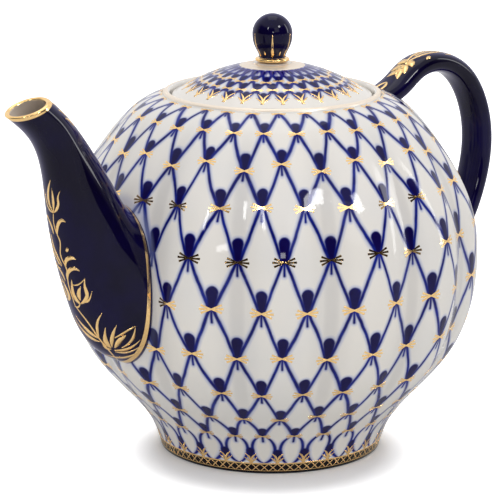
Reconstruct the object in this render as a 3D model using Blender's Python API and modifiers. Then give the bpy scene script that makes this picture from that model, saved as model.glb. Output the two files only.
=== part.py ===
"""A lobed porcelain teapot: a cast body with a luted spout and strap handle, and a domed lid with a ball knob.

The pot stands on z = 0 with its spout towards -X and its handle towards +X. The body's axis is moved a
little along +X, so that the origin lies under the middle of the whole length.
"""

import math

import bmesh
import bpy
import numpy as np
from mathutils import Matrix

# Driving dimensions, in metres. Every other size is worked out from these.
AXIS_X = 0.0036
WALL = 0.0032
GAP = 0.0003
JOIN_GAP = 0.0005

BODY_STEPS = 84
LOBES = 14
LOBE_DEPTH = 0.038
LOBE_SHARPNESS = 0.12

# Body outline at the crest of a lobe, from the foot to the rim: (radius, height).
BODY_OUTLINE = [
    (0.0534, 0.0),
    (0.0584, 0.0134),
    (0.0770, 0.0363),
    (0.0896, 0.0528),
    (0.0970, 0.0720),
    (0.0999, 0.0960),
    (0.0968, 0.1200),
    (0.0780, 0.1536),
    (0.0600, 0.1702),
    (0.0505, 0.1737),
]
FOOT_INNER_RADIUS = 0.0490
FOOT_RECESS = 0.0036
FLOOR_THICKNESS = 0.0036
RIM_HEIGHT = 0.1740
SEAT_RADIUS = 0.0487
SEAT_HEIGHT = 0.1682
MOUTH_RADIUS = 0.0402

LID_STEPS = 48
LID_RADIUS = 0.0480
LID_APEX = 0.1884
LID_DROP = 0.0160
LID_WALL = 0.0030
LID_EDGE_ROUND = 0.0014
COLLAR_RADIUS = 0.0394
COLLAR_WALL = 0.0028
COLLAR_DEPTH = 0.0080

KNOB_STEPS = 24
KNOB_CENTRE = 0.0132
KNOB_RADIUS = 0.0096
KNOB_NECK_RADIUS = 0.0060
KNOB_NECK_HEIGHT = 0.0022
KNOB_BASE_RADIUS = 0.0080
KNOB_BASE_HEIGHT = 0.0011

# Spout edges in its own upright plane, from the mouth to the body: (distance from the axis, height).
SPOUT_UNDER = [
    (0.1556, 0.1799),
    (0.1410, 0.1660),
    (0.1347, 0.1491),
    (0.1324, 0.1323),
    (0.1290, 0.1145),
    (0.1206, 0.0890),
    (0.1075, 0.0660),
    (0.0912, 0.0566),
]
SPOUT_OVER = [
    (0.1352, 0.1868),
    (0.1232, 0.1756),
    (0.1120, 0.1611),
    (0.1042, 0.1488),
    (0.1002, 0.1416),
    (0.0973, 0.1368),
    (0.0945, 0.1338),
    (0.0917, 0.1325),
]
SPOUT_HALF_WIDTHS = [0.0103, 0.0106, 0.0114, 0.0131, 0.0154, 0.0180, 0.0208, 0.0230]
SPOUT_STATIONS = 15
SPOUT_STEPS = 24
SPOUT_MOUTH_WALL = 0.0024
SPOUT_ROOT_WALL = 0.0042
SPOUT_LIP_RISE = np.array([-0.0002, 0.0, 0.0007])

STRAINER_HOLE_RADIUS = 0.0019
STRAINER_SPACING = 0.0082
STRAINER_HEIGHT = 0.0960
STRAINER_PIN_LENGTH = 0.030

# Handle centre line in the same plane, from the shoulder to the belly, with half thickness and half width.
HANDLE_LINE = [
    (0.0690, 0.1610),
    (0.0842, 0.1676),
    (0.0938, 0.1739),
    (0.1090, 0.1765),
    (0.1254, 0.1704),
    (0.1383, 0.1538),
    (0.1430, 0.1324),
    (0.1393, 0.1110),
    (0.1303, 0.0923),
    (0.1194, 0.0791),
    (0.1080, 0.0680),
    (0.0980, 0.0600),
]
HANDLE_HALF_THICKNESS = 0.0052
HANDLE_HALF_WIDTH = 0.0088
HANDLE_STATIONS = 30
HANDLE_STEPS = 16
HANDLE_SQUARENESS = 2.5

PORCELAIN = (0.84, 0.83, 0.80, 1.0)
COBALT = (0.012, 0.010, 0.070, 1.0)


def smooth_line(points, count):
    """`count` points, evenly spaced in chord length, on the natural cubic through the given points."""
    points = np.array(points, float)
    knots = np.concatenate([[0.0], np.cumsum(np.linalg.norm(np.diff(points, axis=0), axis=1))])
    gaps = np.diff(knots)
    slopes = np.diff(points, axis=0) / gaps[:, None]
    size = len(points)
    matrix = np.eye(size)
    right = np.zeros_like(points)
    for i in range(1, size - 1):
        matrix[i, i - 1] = gaps[i - 1]
        matrix[i, i] = 2 * (gaps[i - 1] + gaps[i])
        matrix[i, i + 1] = gaps[i]
        right[i] = 6 * (slopes[i] - slopes[i - 1])
    bends = np.linalg.solve(matrix, right)
    at = np.linspace(0.0, knots[-1], count)
    index = np.clip(np.searchsorted(knots, at, side="right") - 1, 0, size - 2)
    gap = gaps[index][:, None]
    left = (knots[index + 1] - at)[:, None]
    past = (at - knots[index])[:, None]
    curve = (bends[index] * left**3 + bends[index + 1] * past**3) / (6 * gap)
    straight = (points[index] / gap - bends[index] * gap / 6) * left
    return curve + straight + (points[index + 1] / gap - bends[index + 1] * gap / 6) * past


BODY_CURVE = smooth_line(BODY_OUTLINE, 400)


def ramp(value, low, high):
    """A smooth step from 0 at `low` to 1 at `high`."""
    part = min(max((value - low) / (high - low), 0.0), 1.0)
    return part * part * (3 - 2 * part)


def lobe_factor(angle, height):
    """What the lobes leave of the crest radius: 1 on a crest, less in the valleys, and 1 at foot and rim."""
    depth = LOBE_DEPTH * ramp(height, 0.012, 0.070) * (1 - ramp(height, 0.160, 0.172))
    depth *= 1 - 0.6 * ramp(height, 0.115, 0.155)
    turn = LOBES * angle
    wave = math.cos(turn) - LOBE_SHARPNESS * math.cos(2 * turn) - (1 - LOBE_SHARPNESS)
    return 1 + depth * wave / 2


def body_radius(angle, height):
    """Outer radius of the body at an angle from the spout-to-handle line."""
    return float(np.interp(height, BODY_CURVE[:, 1], BODY_CURVE[:, 0])) * lobe_factor(angle, height)


def onto_body(point, direction):
    """The point moved along `direction` until it lies JOIN_GAP off the body's outer surface."""
    near, far = -0.020, 0.030
    for _ in range(40):
        middle = (near + far) / 2
        x, y, z = point + direction * middle
        if math.hypot(x, y) > body_radius(math.atan2(y, x), z) + JOIN_GAP:
            near = middle
        else:
            far = middle
    return point + direction * near


def material(name, colour, roughness, metallic=0.0):
    made = bpy.data.materials.new(name)
    made.use_nodes = True
    shader = made.node_tree.nodes["Principled BSDF"]
    shader.inputs["Base Color"].default_value = colour
    shader.inputs["Roughness"].default_value = roughness
    shader.inputs["Metallic"].default_value = metallic
    return made


def add_object(name, bm, collection, surface, parent=None):
    bmesh.ops.recalc_face_normals(bm, faces=bm.faces)
    for face in bm.faces:
        face.smooth = True
    mesh = bpy.data.meshes.new(name)
    bm.to_mesh(mesh)
    bm.free()
    made = bpy.data.objects.new(name, mesh)
    if surface:
        mesh.materials.append(surface)
    collection.objects.link(made)
    made.parent = parent
    return made


def turned(name, profile, steps, height, collection, surface, parent):
    """A profile (radius, height) turned about the pot's axis, with its origin at `height` on that axis."""
    bm = bmesh.new()
    corners = [bm.verts.new((r, 0.0, z - height)) for r, z in profile]
    for first, second in zip(corners, corners[1:]):
        bm.edges.new((first, second))
    mesh = bpy.data.meshes.new(name)
    bm.to_mesh(mesh)
    bm.free()
    made = bpy.data.objects.new(name, mesh)
    mesh.materials.append(surface)
    collection.objects.link(made)
    made.parent = parent
    made.location.z = height
    screw = made.modifiers.new("turn", "SCREW")
    screw.steps = steps
    screw.render_steps = steps
    screw.use_merge_vertices = True
    screw.merge_threshold = 0.0001
    screw.use_smooth_shade = True
    return made


def arc(centre, radius, start, end, count):
    """Points of a circular arc, angles in degrees, as (radius, height)."""
    turns = [math.radians(start + (end - start) * i / (count - 1)) for i in range(count)]
    return [(centre[0] + radius * math.cos(t), centre[1] + radius * math.sin(t)) for t in turns]


def inside_line():
    """The cavity's wall from the floor to the mouth, one wall thickness inside the body's curve."""
    line = []
    for height in np.linspace(0.016, 0.157, 10):
        low = np.interp(height - 0.001, BODY_CURVE[:, 1], BODY_CURVE[:, 0])
        high = np.interp(height + 0.001, BODY_CURVE[:, 1], BODY_CURVE[:, 0])
        slope = (high - low) / 0.002
        lean = math.hypot(1, slope)
        radius = np.interp(height, BODY_CURVE[:, 1], BODY_CURVE[:, 0])
        line.append((radius - WALL / lean, height + slope * WALL / lean))
    return line


def body_profile():
    floor = FOOT_RECESS + FLOOR_THICKNESS
    inner = [(0.0, floor), (0.030, floor), (0.0480, floor + 0.0012)] + inside_line()
    shelf = SEAT_HEIGHT - WALL
    inner += [(0.0580, shelf - 0.0012), (MOUTH_RADIUS + 0.004, shelf)]
    inner += [(MOUTH_RADIUS, shelf + 0.0008), (MOUTH_RADIUS, SEAT_HEIGHT - 0.0006)]
    seat = [(MOUTH_RADIUS + 0.0006, SEAT_HEIGHT), (SEAT_RADIUS, SEAT_HEIGHT)]
    rim = [(SEAT_RADIUS, RIM_HEIGHT - 0.0010), (SEAT_RADIUS + 0.0005, RIM_HEIGHT)]
    outer = [(float(r), float(z)) for r, z in smooth_line(BODY_OUTLINE, 21)[::-1]]
    foot = [(FOOT_INNER_RADIUS, 0.0), (FOOT_INNER_RADIUS - 0.0010, FOOT_RECESS), (0.0, FOOT_RECESS)]
    return inner + seat + rim + outer + foot


def strainer_cutter(collection, parent):
    """Pins for the holes behind the spout: one, six round it and six more outside those."""
    bm = bmesh.new()
    places = [(0.0, 0.0)]
    for reach, shift in ((STRAINER_SPACING, 0.0), (STRAINER_SPACING * math.sqrt(3), 30.0)):
        for i in range(6):
            turn = math.radians(shift + 60 * i)
            places.append((reach * math.sin(turn), reach * math.cos(turn)))
    lay_down = Matrix.Rotation(math.radians(90), 4, "Y")
    for across, up in places:
        bmesh.ops.create_cone(
            bm,
            cap_ends=True,
            segments=10,
            radius1=STRAINER_HOLE_RADIUS,
            radius2=STRAINER_HOLE_RADIUS,
            depth=STRAINER_PIN_LENGTH,
            matrix=Matrix.Translation((-BODY_OUTLINE[5][0], across, STRAINER_HEIGHT + up)) @ lay_down,
        )
    made = add_object("strainer_cutter", bm, collection, None, parent)
    made.hide_render = True
    made.display_type = "WIRE"
    return made


def make_body(collection, cutters, surface, parent):
    bm = bmesh.new()
    corners = [bm.verts.new((r, 0.0, z)) for r, z in body_profile()]
    edges = [bm.edges.new(pair) for pair in zip(corners, corners[1:])]
    bmesh.ops.spin(
        bm,
        geom=corners + edges,
        cent=(0, 0, 0),
        axis=(0, 0, 1),
        angle=math.tau,
        steps=BODY_STEPS,
        use_merge=True,
        use_duplicate=False,
    )
    bmesh.ops.remove_doubles(bm, verts=bm.verts, dist=0.00001)
    for vertex in bm.verts:
        x, y, z = vertex.co
        if math.hypot(x, y) > SEAT_RADIUS + 0.0008 or FOOT_RECESS + FLOOR_THICKNESS < z < SEAT_HEIGHT - WALL:
            factor = lobe_factor(math.atan2(y, x), z)
            vertex.co.x = x * factor
            vertex.co.y = y * factor
    body = add_object("teapot_body", bm, collection, surface, parent)
    cut = body.modifiers.new("strainer", "BOOLEAN")
    cut.operation = "DIFFERENCE"
    cut.solver = "EXACT"
    cut.object = strainer_cutter(cutters, parent)
    return body


def ring_edges(bm, points):
    corners = [bm.verts.new(point) for point in points]
    return [bm.edges.new((corners[i - 1], corners[i])) for i in range(len(corners))]


def bridged(bm, rings):
    """Walls between each ring and the next."""
    made = [ring_edges(bm, ring) for ring in rings]
    for first, second in zip(made, made[1:]):
        bmesh.ops.bridge_loops(bm, edges=first + second)
    return made


def spout_rings(inset):
    """Oval rings from the mouth to the body, drawn in by the wall where `inset` is 1."""
    under = smooth_line(SPOUT_UNDER, SPOUT_STATIONS)
    over = smooth_line(SPOUT_OVER, SPOUT_STATIONS)
    widths = smooth_line(list(enumerate(SPOUT_HALF_WIDTHS)), SPOUT_STATIONS)[:, 1]
    rings = []
    for station in range(SPOUT_STATIONS):
        along = station / (SPOUT_STATIONS - 1)
        wall = inset * (SPOUT_MOUTH_WALL + (SPOUT_ROOT_WALL - SPOUT_MOUTH_WALL) * along)
        centre = (under[station] + over[station]) / 2
        reach = (over[station] - under[station]) / 2
        reach *= 1 - wall / np.linalg.norm(reach)
        half_width = widths[station] - wall
        ring = []
        for step in range(SPOUT_STEPS):
            turn = math.tau * step / SPOUT_STEPS
            out, height = centre + reach * math.cos(turn)
            ring.append(np.array([-out, half_width * math.sin(turn), height]))
        rings.append(ring)
    rings[-1] = [onto_body(point, np.array([1.0, 0.0, 0.0])) for point in rings[-1]]
    return rings


def make_spout(collection, surface, parent):
    outer = spout_rings(0.0)
    inner = spout_rings(1.0)
    lip = [(a + b) / 2 + SPOUT_LIP_RISE for a, b in zip(outer[0], inner[0])]
    rings = outer[::-1] + [lip] + inner
    bm = bmesh.new()
    made = bridged(bm, rings)
    bmesh.ops.bridge_loops(bm, edges=made[-1] + made[0])
    return add_object("spout", bm, collection, surface, parent)


def handle_rings():
    line = smooth_line(HANDLE_LINE, HANDLE_STATIONS)
    headings = np.gradient(line, axis=0)
    rings = []
    for place, heading in zip(line, headings):
        heading = heading / np.linalg.norm(heading)
        outward = np.array([-heading[1], heading[0]])
        ring = []
        for step in range(HANDLE_STEPS):
            turn = math.tau * step / HANDLE_STEPS
            c = math.copysign(abs(math.cos(turn)) ** (2 / HANDLE_SQUARENESS), math.cos(turn))
            s = math.copysign(abs(math.sin(turn)) ** (2 / HANDLE_SQUARENESS), math.sin(turn))
            out, height = place + outward * HANDLE_HALF_THICKNESS * c
            ring.append(np.array([out, HANDLE_HALF_WIDTH * s, height]))
        rings.append(ring)
    return rings, headings


def trimmed(rings, heading, leave):
    """The rings with those inside the body left out, and the end ring laid onto the body."""
    direction = np.array([heading[0], 0.0, heading[1]])
    direction /= np.linalg.norm(direction)
    kept = list(rings)
    while min(math.hypot(p[0], p[1]) - body_radius(math.atan2(p[1], p[0]), p[2]) for p in kept[0]) < leave:
        kept = kept[1:]
    return [[onto_body(point, direction) for point in kept[0]]] + kept


def end_cap(bm, edges, ring, heading):
    """A half-size ring and a centre point on the body's surface close the end."""
    direction = np.array([heading[0], 0.0, heading[1]])
    direction /= np.linalg.norm(direction)
    middle = sum(ring) / len(ring)
    inner = [onto_body((point + middle) / 2, direction) for point in ring]
    inner_edges = ring_edges(bm, inner)
    bmesh.ops.bridge_loops(bm, edges=edges + inner_edges)
    tip = bm.verts.new(onto_body(middle, direction))
    for edge in inner_edges:
        bm.faces.new((edge.verts[0], edge.verts[1], tip))


def make_handle(collection, surface, parent):
    rings, headings = handle_rings()
    rings = trimmed(rings, -headings[0], 0.0012)
    rings = trimmed(rings[::-1], headings[-1], 0.0012)[::-1]
    bm = bmesh.new()
    made = bridged(bm, rings)
    end_cap(bm, made[0], rings[0], -headings[0])
    end_cap(bm, made[-1], rings[-1], headings[-1])
    return add_object("handle", bm, collection, surface, parent)


def lid_top(radius):
    """Height of the lid's dome over a radius."""
    return LID_APEX - LID_DROP * (radius / LID_RADIUS) ** 2


def lid_profile():
    edge = LID_RADIUS - LID_EDGE_ROUND
    base = SEAT_HEIGHT + GAP
    dome = [(r, lid_top(r)) for r in np.linspace(0.0, edge, 8)]
    corner = arc((edge, lid_top(edge) - LID_EDGE_ROUND), LID_EDGE_ROUND, 70, 0, 4)
    flange = [(LID_RADIUS, base + 0.0006), (LID_RADIUS - 0.0006, base), (COLLAR_RADIUS, base)]
    foot = base - COLLAR_DEPTH
    inner = COLLAR_RADIUS - COLLAR_WALL
    collar = [(COLLAR_RADIUS, foot + 0.0010), (COLLAR_RADIUS - 0.0010, foot), (inner + 0.0008, foot)]
    collar += [(inner, foot + 0.0008), (inner, base + 0.0010)]
    under = [(r, lid_top(r) - LID_WALL) for r in np.linspace(inner - 0.0040, 0.0, 5)]
    return dome + corner + flange + collar + under


def knob_profile(base):
    ball = arc((0.0, base + KNOB_CENTRE), KNOB_RADIUS, 90, -38, 11)
    ball[0] = (0.0, base + KNOB_CENTRE + KNOB_RADIUS)
    stem = [(0.0068, base + 0.0050), (0.0062, base + 0.0034), (KNOB_NECK_RADIUS, base + KNOB_NECK_HEIGHT)]
    ring = [(KNOB_BASE_RADIUS - 0.0008, base + KNOB_BASE_HEIGHT + 0.0004)]
    ring += [(KNOB_BASE_RADIUS, base + KNOB_BASE_HEIGHT / 2), (KNOB_BASE_RADIUS - 0.0004, base), (0.0, base)]
    return ball + stem + ring


def clear_scene():
    for old in list(bpy.data.objects):
        bpy.data.objects.remove(old, do_unlink=True)


def main():
    clear_scene()
    parts = bpy.data.collections.new("teapot")
    cutters = bpy.data.collections.new("cutters")
    cutters.hide_render = True
    for collection in (parts, cutters):
        bpy.context.scene.collection.children.link(collection)
    axis = bpy.data.objects.new("pot_axis", None)
    axis.location.x = AXIS_X
    parts.objects.link(axis)
    porcelain = material("porcelain", PORCELAIN, 0.08)
    cobalt = material("cobalt_glaze", COBALT, 0.06)
    make_body(parts, cutters, porcelain, axis)
    make_spout(parts, cobalt, axis)
    make_handle(parts, cobalt, axis)
    turned("lid", lid_profile(), LID_STEPS, SEAT_HEIGHT + GAP, parts, porcelain, axis)
    knob_base = LID_APEX + GAP
    turned("lid_knob", knob_profile(knob_base), KNOB_STEPS, knob_base, parts, cobalt, axis)


main()
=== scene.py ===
import math
import random

import bmesh
import bpy
import numpy as np
from mathutils import Matrix


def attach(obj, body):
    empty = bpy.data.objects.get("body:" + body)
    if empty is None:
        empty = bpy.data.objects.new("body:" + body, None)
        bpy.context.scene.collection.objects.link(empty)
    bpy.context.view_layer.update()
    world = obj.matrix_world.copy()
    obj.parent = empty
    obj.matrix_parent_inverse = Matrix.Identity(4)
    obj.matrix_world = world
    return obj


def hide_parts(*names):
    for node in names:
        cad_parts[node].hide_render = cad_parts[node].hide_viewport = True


bl_info = {
    "name": "Cobalt net teapot",
    "version": (1, 0, 0),
    "blender": (4, 5, 0),
    "location": "View3D > Sidebar > Teapot",
    "description": "A lobed porcelain teapot with a cobalt net, a cobalt spout and handle, and gilding",
    "category": "Add Mesh",
}

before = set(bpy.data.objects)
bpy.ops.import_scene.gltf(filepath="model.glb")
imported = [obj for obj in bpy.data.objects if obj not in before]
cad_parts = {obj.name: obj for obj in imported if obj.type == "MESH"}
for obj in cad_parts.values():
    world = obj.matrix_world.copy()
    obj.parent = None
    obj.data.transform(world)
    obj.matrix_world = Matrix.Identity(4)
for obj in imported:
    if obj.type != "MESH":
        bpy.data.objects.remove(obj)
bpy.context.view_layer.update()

# The pot's upright axis, the gap under a luted piece, and the one under the lid and under the knob.
AXIS_X = 0.0036
JOIN_GAP = 0.0005
GAP = 0.0003

# Body outline at the crest of a lobe, from the foot to the rim: (radius, height).
BODY_OUTLINE = [
    (0.0534, 0.0),
    (0.0584, 0.0134),
    (0.0770, 0.0363),
    (0.0896, 0.0528),
    (0.0970, 0.0720),
    (0.0999, 0.0960),
    (0.0968, 0.1200),
    (0.0780, 0.1536),
    (0.0600, 0.1702),
    (0.0505, 0.1737),
]
BELLY_RADIUS = 0.0999
LOBES = 14
LOBE_DEPTH = 0.038
LOBE_SHARPNESS = 0.12
WALL = 0.0032
FOOT_INNER_RADIUS = 0.0490
FOOT_RECESS = 0.0036
FLOOR_HEIGHT = 0.0072
RIM_HEIGHT = 0.1740
SEAT_RADIUS = 0.0487
SEAT_HEIGHT = 0.1682
MOUTH_RADIUS = 0.0402
BODY_STEPS = 336
BODY_RINGS = 110

# Holes behind the spout: one, six round it and six more outside those.
STRAINER_HOLE_RADIUS = 0.0019
STRAINER_SPACING = 0.0082
STRAINER_HEIGHT = 0.0960

LID_STEPS = 192
LID_RADIUS = 0.0480
LID_APEX = 0.1884
LID_DROP = 0.0160
LID_WALL = 0.0030
LID_EDGE_ROUND = 0.0014
COLLAR_RADIUS = 0.0394
COLLAR_WALL = 0.0028
COLLAR_DEPTH = 0.0080

KNOB_STEPS = 96
KNOB_BASE = LID_APEX + GAP
KNOB_CENTRE = 0.0132
KNOB_RADIUS = 0.0096
# Its gold: how many rays, the first one's angle, and where the rays and the dashes between them start.
KNOB_RAYS = 12
KNOB_RAY_START = 228
KNOB_RAY_FOOT = 0.0024
KNOB_DASH_ABOVE = 0.0008

# Spout edges in its own upright plane, from the mouth to the body: (distance from the axis, height).
SPOUT_UNDER = [
    (0.1556, 0.1799),
    (0.1410, 0.1660),
    (0.1347, 0.1491),
    (0.1324, 0.1323),
    (0.1290, 0.1145),
    (0.1206, 0.0890),
    (0.1075, 0.0660),
    (0.0912, 0.0566),
]
SPOUT_OVER = [
    (0.1352, 0.1868),
    (0.1232, 0.1756),
    (0.1120, 0.1611),
    (0.1042, 0.1488),
    (0.1002, 0.1416),
    (0.0973, 0.1368),
    (0.0945, 0.1338),
    (0.0917, 0.1325),
]
SPOUT_HALF_WIDTHS = [0.0103, 0.0106, 0.0114, 0.0131, 0.0154, 0.0180, 0.0208, 0.0230]
SPOUT_STEPS = 96
SPOUT_MOUTH_WALL = 0.0024
SPOUT_ROOT_WALL = 0.0042
SPOUT_LIP_RISE = np.array([-0.0002, 0.0, 0.0007])
# The rounded lip at the mouth: how far across the wall, and how much of the rise.
SPOUT_LIP = ((0.2, 0.65), (0.5, 1.0), (0.8, 0.65))
# The spout's root as an oval on the body.
ROOT_HALF_WIDTH = 0.0235
ROOT_HALF_HEIGHT = 0.0385
ROOT_MIDDLE = 0.0945

# Handle centre line in the same plane, from the shoulder to the belly, with half thickness and half width.
HANDLE_LINE = [
    (0.0690, 0.1610),
    (0.0842, 0.1676),
    (0.0938, 0.1739),
    (0.1090, 0.1765),
    (0.1254, 0.1704),
    (0.1383, 0.1538),
    (0.1430, 0.1324),
    (0.1393, 0.1110),
    (0.1303, 0.0923),
    (0.1194, 0.0791),
    (0.1080, 0.0680),
    (0.0980, 0.0600),
]
HANDLE_HALF_THICKNESS = 0.0052
HANDLE_HALF_WIDTH = 0.0088
HANDLE_SQUARENESS = 2.5
HANDLE_STATIONS = 150
HANDLE_STEPS = 48
HANDLE_CLEARANCE = 0.0009
# Where its ends stand on the body: half width, and (height, half height) of each.
HANDLE_END_HALF_WIDTH = 0.0125
HANDLE_END_HEIGHTS = ((0.0625, 0.012), (0.1600, 0.011))

# The painted net: its knots stand in rows from the rim to the foot, every other row half a column round.
NET_COLUMNS = 28
NET_START = 4
NET_HEIGHTS = [0.1730, 0.1661, 0.1531, 0.1362, 0.1140, 0.0908, 0.0675, 0.0482, 0.0332, 0.0213, 0.0071]
NET_SAG = {2: 0.0033, 4: 0.0013, 6: 0.0012}
NET_DRIFT = 0.045
DROP_REACH = 0.46
FOOT_BAND_TOP = 0.0054
FOOT_BAND_LOW = 0.0012
FOOT_BAND_RADIUS = 0.0550
FOOT_DIAMONDS = 84
FOOT_STROKE = 0.00055
FOOT_SPRIG = 0.0052
LID_SPRIG = 0.0060
LID_BOW = 0.52

LID_COLUMNS = 28
LID_START = 4.25
LID_NET_RADII = [0.0155, 0.0210, 0.0273, 0.0340, 0.0410]
LID_LAST_ROW = 40
LID_LINE_WIDTH = 1.6
LID_DROP_WIDTH = 7.2
LID_DROP_REACH = 0.78
# Where the crown's streaks, the border outside the net and the crown inside it start and are full.
LID_STREAKS = (0.0250, 0.0190)
LID_BORDER = (0.0404, 0.0414)
LID_CROWN = (0.0158, 0.0152)
LID_SPRIG_RADIUS = 0.0415
LID_RING_RADIUS = 0.0125
LID_RING_WIDTH = 0.0072

# Charts of the spout and the handle, unrolled for the gilder.
SPOUT_CHART_LENGTH = 0.140
SPOUT_CHART_ROOT_RADIUS = 0.0275
SPOUT_CHART_TAPER = 0.0195
HANDLE_CHART_LENGTH = 0.250
HANDLE_CHART_RADIUS = 0.0085

# Gold strokes sink this far under the glaze, so that their edges don't float.
SINK = 0.00004
NUDGE = 1e-4

# Tones that are not settings, as screen colours, and how strongly the two glazes mirror.
# Grey of the painted shade in the valleys between the lobes.
VALLEY_PAINTED_SHADE = (118, 118, 132)
FOOT_BAND_GROUND = (14, 10, 22)
# Blue of the painted rim light on the cobalt glaze, where its surface turns away from the view.
COBALT_RIM_LIGHT = (24, 4, 104)
CROWN_BLUE = (70, 62, 142)
# The two tones of the painted shadow inside the spout: a darker, browner white and its patches.
SPOUT_INSIDE_SHADOW = (196, 184, 172)
SPOUT_INSIDE_SHADOW_PATCHES = (184, 172, 160)
PORCELAIN_SHEEN = 0.18
COBALT_SHEEN = 0.20
# The same for the pale gold and the room, as linear colours.
PALE_GOLD = (0.90, 0.79, 0.66, 1.0)
PALE_GOLD_WORN = (0.89, 0.77, 0.63, 1.0)
WHITE = (1.0, 1.0, 1.0, 1.0)
FLOOR_PATCHES = (0.98, 0.98, 0.98, 1.0)
FLOOR_MIRRORED = (0.80, 0.80, 0.80, 1.0)
ROOM_MIRRORED = (0.95, 0.95, 0.97, 1.0)
ROOM_DARK_SIDE = (0.018, 0.017, 0.022, 1.0)
ROOM_SOFT = ((0.88, 0.88, 0.89, 1.0), (1.02, 1.01, 1.00, 1.0))
ROOM_SIDES = (0.62, 0.62, 0.64, 1.0)

# Lamps: name, size, watts, azimuth, elevation and distance.
LAMPS = (
    ("overhead", (0.9, 0.9), 2.6, 48.0, 74.0, 1.6),
    ("front_fill", (0.7, 0.7), 1.9, 255.0, 30.0, 1.6),
)
# Windows that only the glaze mirrors: azimuth, elevation, half of each, and strength.
WINDOWS = (
    (-81.5, 41.0, 7.0, 4.5, 26.0),
    (-161.0, 35.0, 2.5, 6.0, 26.0),
    (-128.0, 14.0, 4.0, 2.0, 16.0),
    (-32.0, 15.0, 3.0, 22.0, 7.0),
)
# The painted contact shadow's middle, and where it starts and stops fading into the floor's painted glow.
PAINTED_SHADOW_MIDDLE = (-0.0098, -0.0148)
PAINTED_SHADOW_FADE = (0.050, 0.080)
# How the camera is aimed, in degrees: down, aside and rolled.
AIM_DOWN = 13.72
AIM_ASIDE = 0.48
AIM_ROLL = 0.22


def ramp(value, low, high):
    """A smooth step from 0 at `low` to 1 at `high`."""
    part = np.clip((value - low) / (high - low), 0.0, 1.0)
    return part * part * (3 - 2 * part)


def smooth_line(points, count):
    """`count` points, evenly spaced in chord length, on the natural cubic through the given points."""
    points = np.array(points, float)
    knots = np.concatenate([[0.0], np.cumsum(np.linalg.norm(np.diff(points, axis=0), axis=1))])
    gaps = np.diff(knots)
    slopes = np.diff(points, axis=0) / gaps[:, None]
    size = len(points)
    matrix = np.eye(size)
    right = np.zeros_like(points)
    for i in range(1, size - 1):
        matrix[i, i - 1] = gaps[i - 1]
        matrix[i, i] = 2 * (gaps[i - 1] + gaps[i])
        matrix[i, i + 1] = gaps[i]
        right[i] = 6 * (slopes[i] - slopes[i - 1])
    bends = np.linalg.solve(matrix, right)
    at = np.linspace(0.0, knots[-1], count)
    index = np.clip(np.searchsorted(knots, at, side="right") - 1, 0, size - 2)
    gap = gaps[index][:, None]
    left = (knots[index + 1] - at)[:, None]
    past = (at - knots[index])[:, None]
    curve = (bends[index] * left**3 + bends[index + 1] * past**3) / (6 * gap)
    straight = (points[index] / gap - bends[index] * gap / 6) * left
    return curve + straight + (points[index + 1] / gap - bends[index + 1] * gap / 6) * past


def reach_along(line):
    """The distance along a line of points, from its first one."""
    return np.concatenate([[0.0], np.cumsum(np.linalg.norm(np.diff(line, axis=0), axis=1))])


def linear(colour):
    """A screen colour, 0 to 255, as the linear colour a shader takes."""
    return tuple(((c / 255 + 0.055) / 1.055) ** 2.4 if c > 10 else c / 255 / 12.92 for c in colour) + (1.0,)


BODY_CURVE = smooth_line(BODY_OUTLINE, 400)
BODY_REACH = reach_along(BODY_CURVE)


def lobe_factor(angle, height):
    """What the lobes leave of the crest radius: 1 on a crest and at foot and rim, less in a valley."""
    depth = LOBE_DEPTH * ramp(height, 0.012, 0.070) * (1 - ramp(height, 0.160, 0.172))
    depth = depth * (1 - 0.6 * ramp(height, 0.115, 0.155))
    wave = np.cos(LOBES * angle) - LOBE_SHARPNESS * np.cos(2 * LOBES * angle) - (1 - LOBE_SHARPNESS)
    return 1 + depth * wave / 2


def body_radius(angle, height):
    """Outer radius of the body at an angle from the spout-to-handle line."""
    return np.interp(height, BODY_CURVE[:, 1], BODY_CURVE[:, 0]) * lobe_factor(angle, height)


def reach_at(height):
    """The distance up the body's outline, from the foot, of a height."""
    return np.interp(height, BODY_CURVE[:, 1], BODY_REACH)


def pot_wall(angle, reach):
    """The body's outer surface, by the angle round it and the distance up its outline from the foot."""
    height = np.interp(reach, BODY_REACH, BODY_CURVE[:, 1])
    radius = np.interp(reach, BODY_REACH, BODY_CURVE[:, 0]) * lobe_factor(angle, height)
    return np.stack([AXIS_X + radius * np.cos(angle), radius * np.sin(angle), height], axis=-1)


def turned_wall(profile):
    """A turned surface, by the angle round it and the distance along its profile (radius, height)."""
    profile = np.array(profile, float)
    reaches = reach_along(profile)

    def wall(angle, reach):
        radius = np.interp(reach, reaches, profile[:, 0])
        height = np.interp(reach, reaches, profile[:, 1])
        return np.stack([AXIS_X + radius * np.cos(angle), radius * np.sin(angle), height], axis=-1)

    return wall


def onto_body(points, direction):
    """Points about the pot's axis, moved along `direction` until they lie JOIN_GAP off the body."""
    near = np.full(len(points), -0.020)
    far = np.full(len(points), 0.030)
    for _ in range(40):
        middle = (near + far) / 2
        x, y, z = (points + direction * middle[:, None]).T
        outside = np.hypot(x, y) > body_radius(np.arctan2(y, x), z) + JOIN_GAP
        near = np.where(outside, middle, near)
        far = np.where(outside, far, middle)
    return points + direction * near[:, None]


SPOUT_UNDER_CURVE = smooth_line(SPOUT_UNDER, 200)
SPOUT_OVER_CURVE = smooth_line(SPOUT_OVER, 200)
SPOUT_WIDTH_CURVE = smooth_line(list(enumerate(SPOUT_HALF_WIDTHS)), 200)[:, 1]
SPOUT_TURNS = np.linspace(0.0, math.tau, SPOUT_STEPS + 1)


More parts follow.
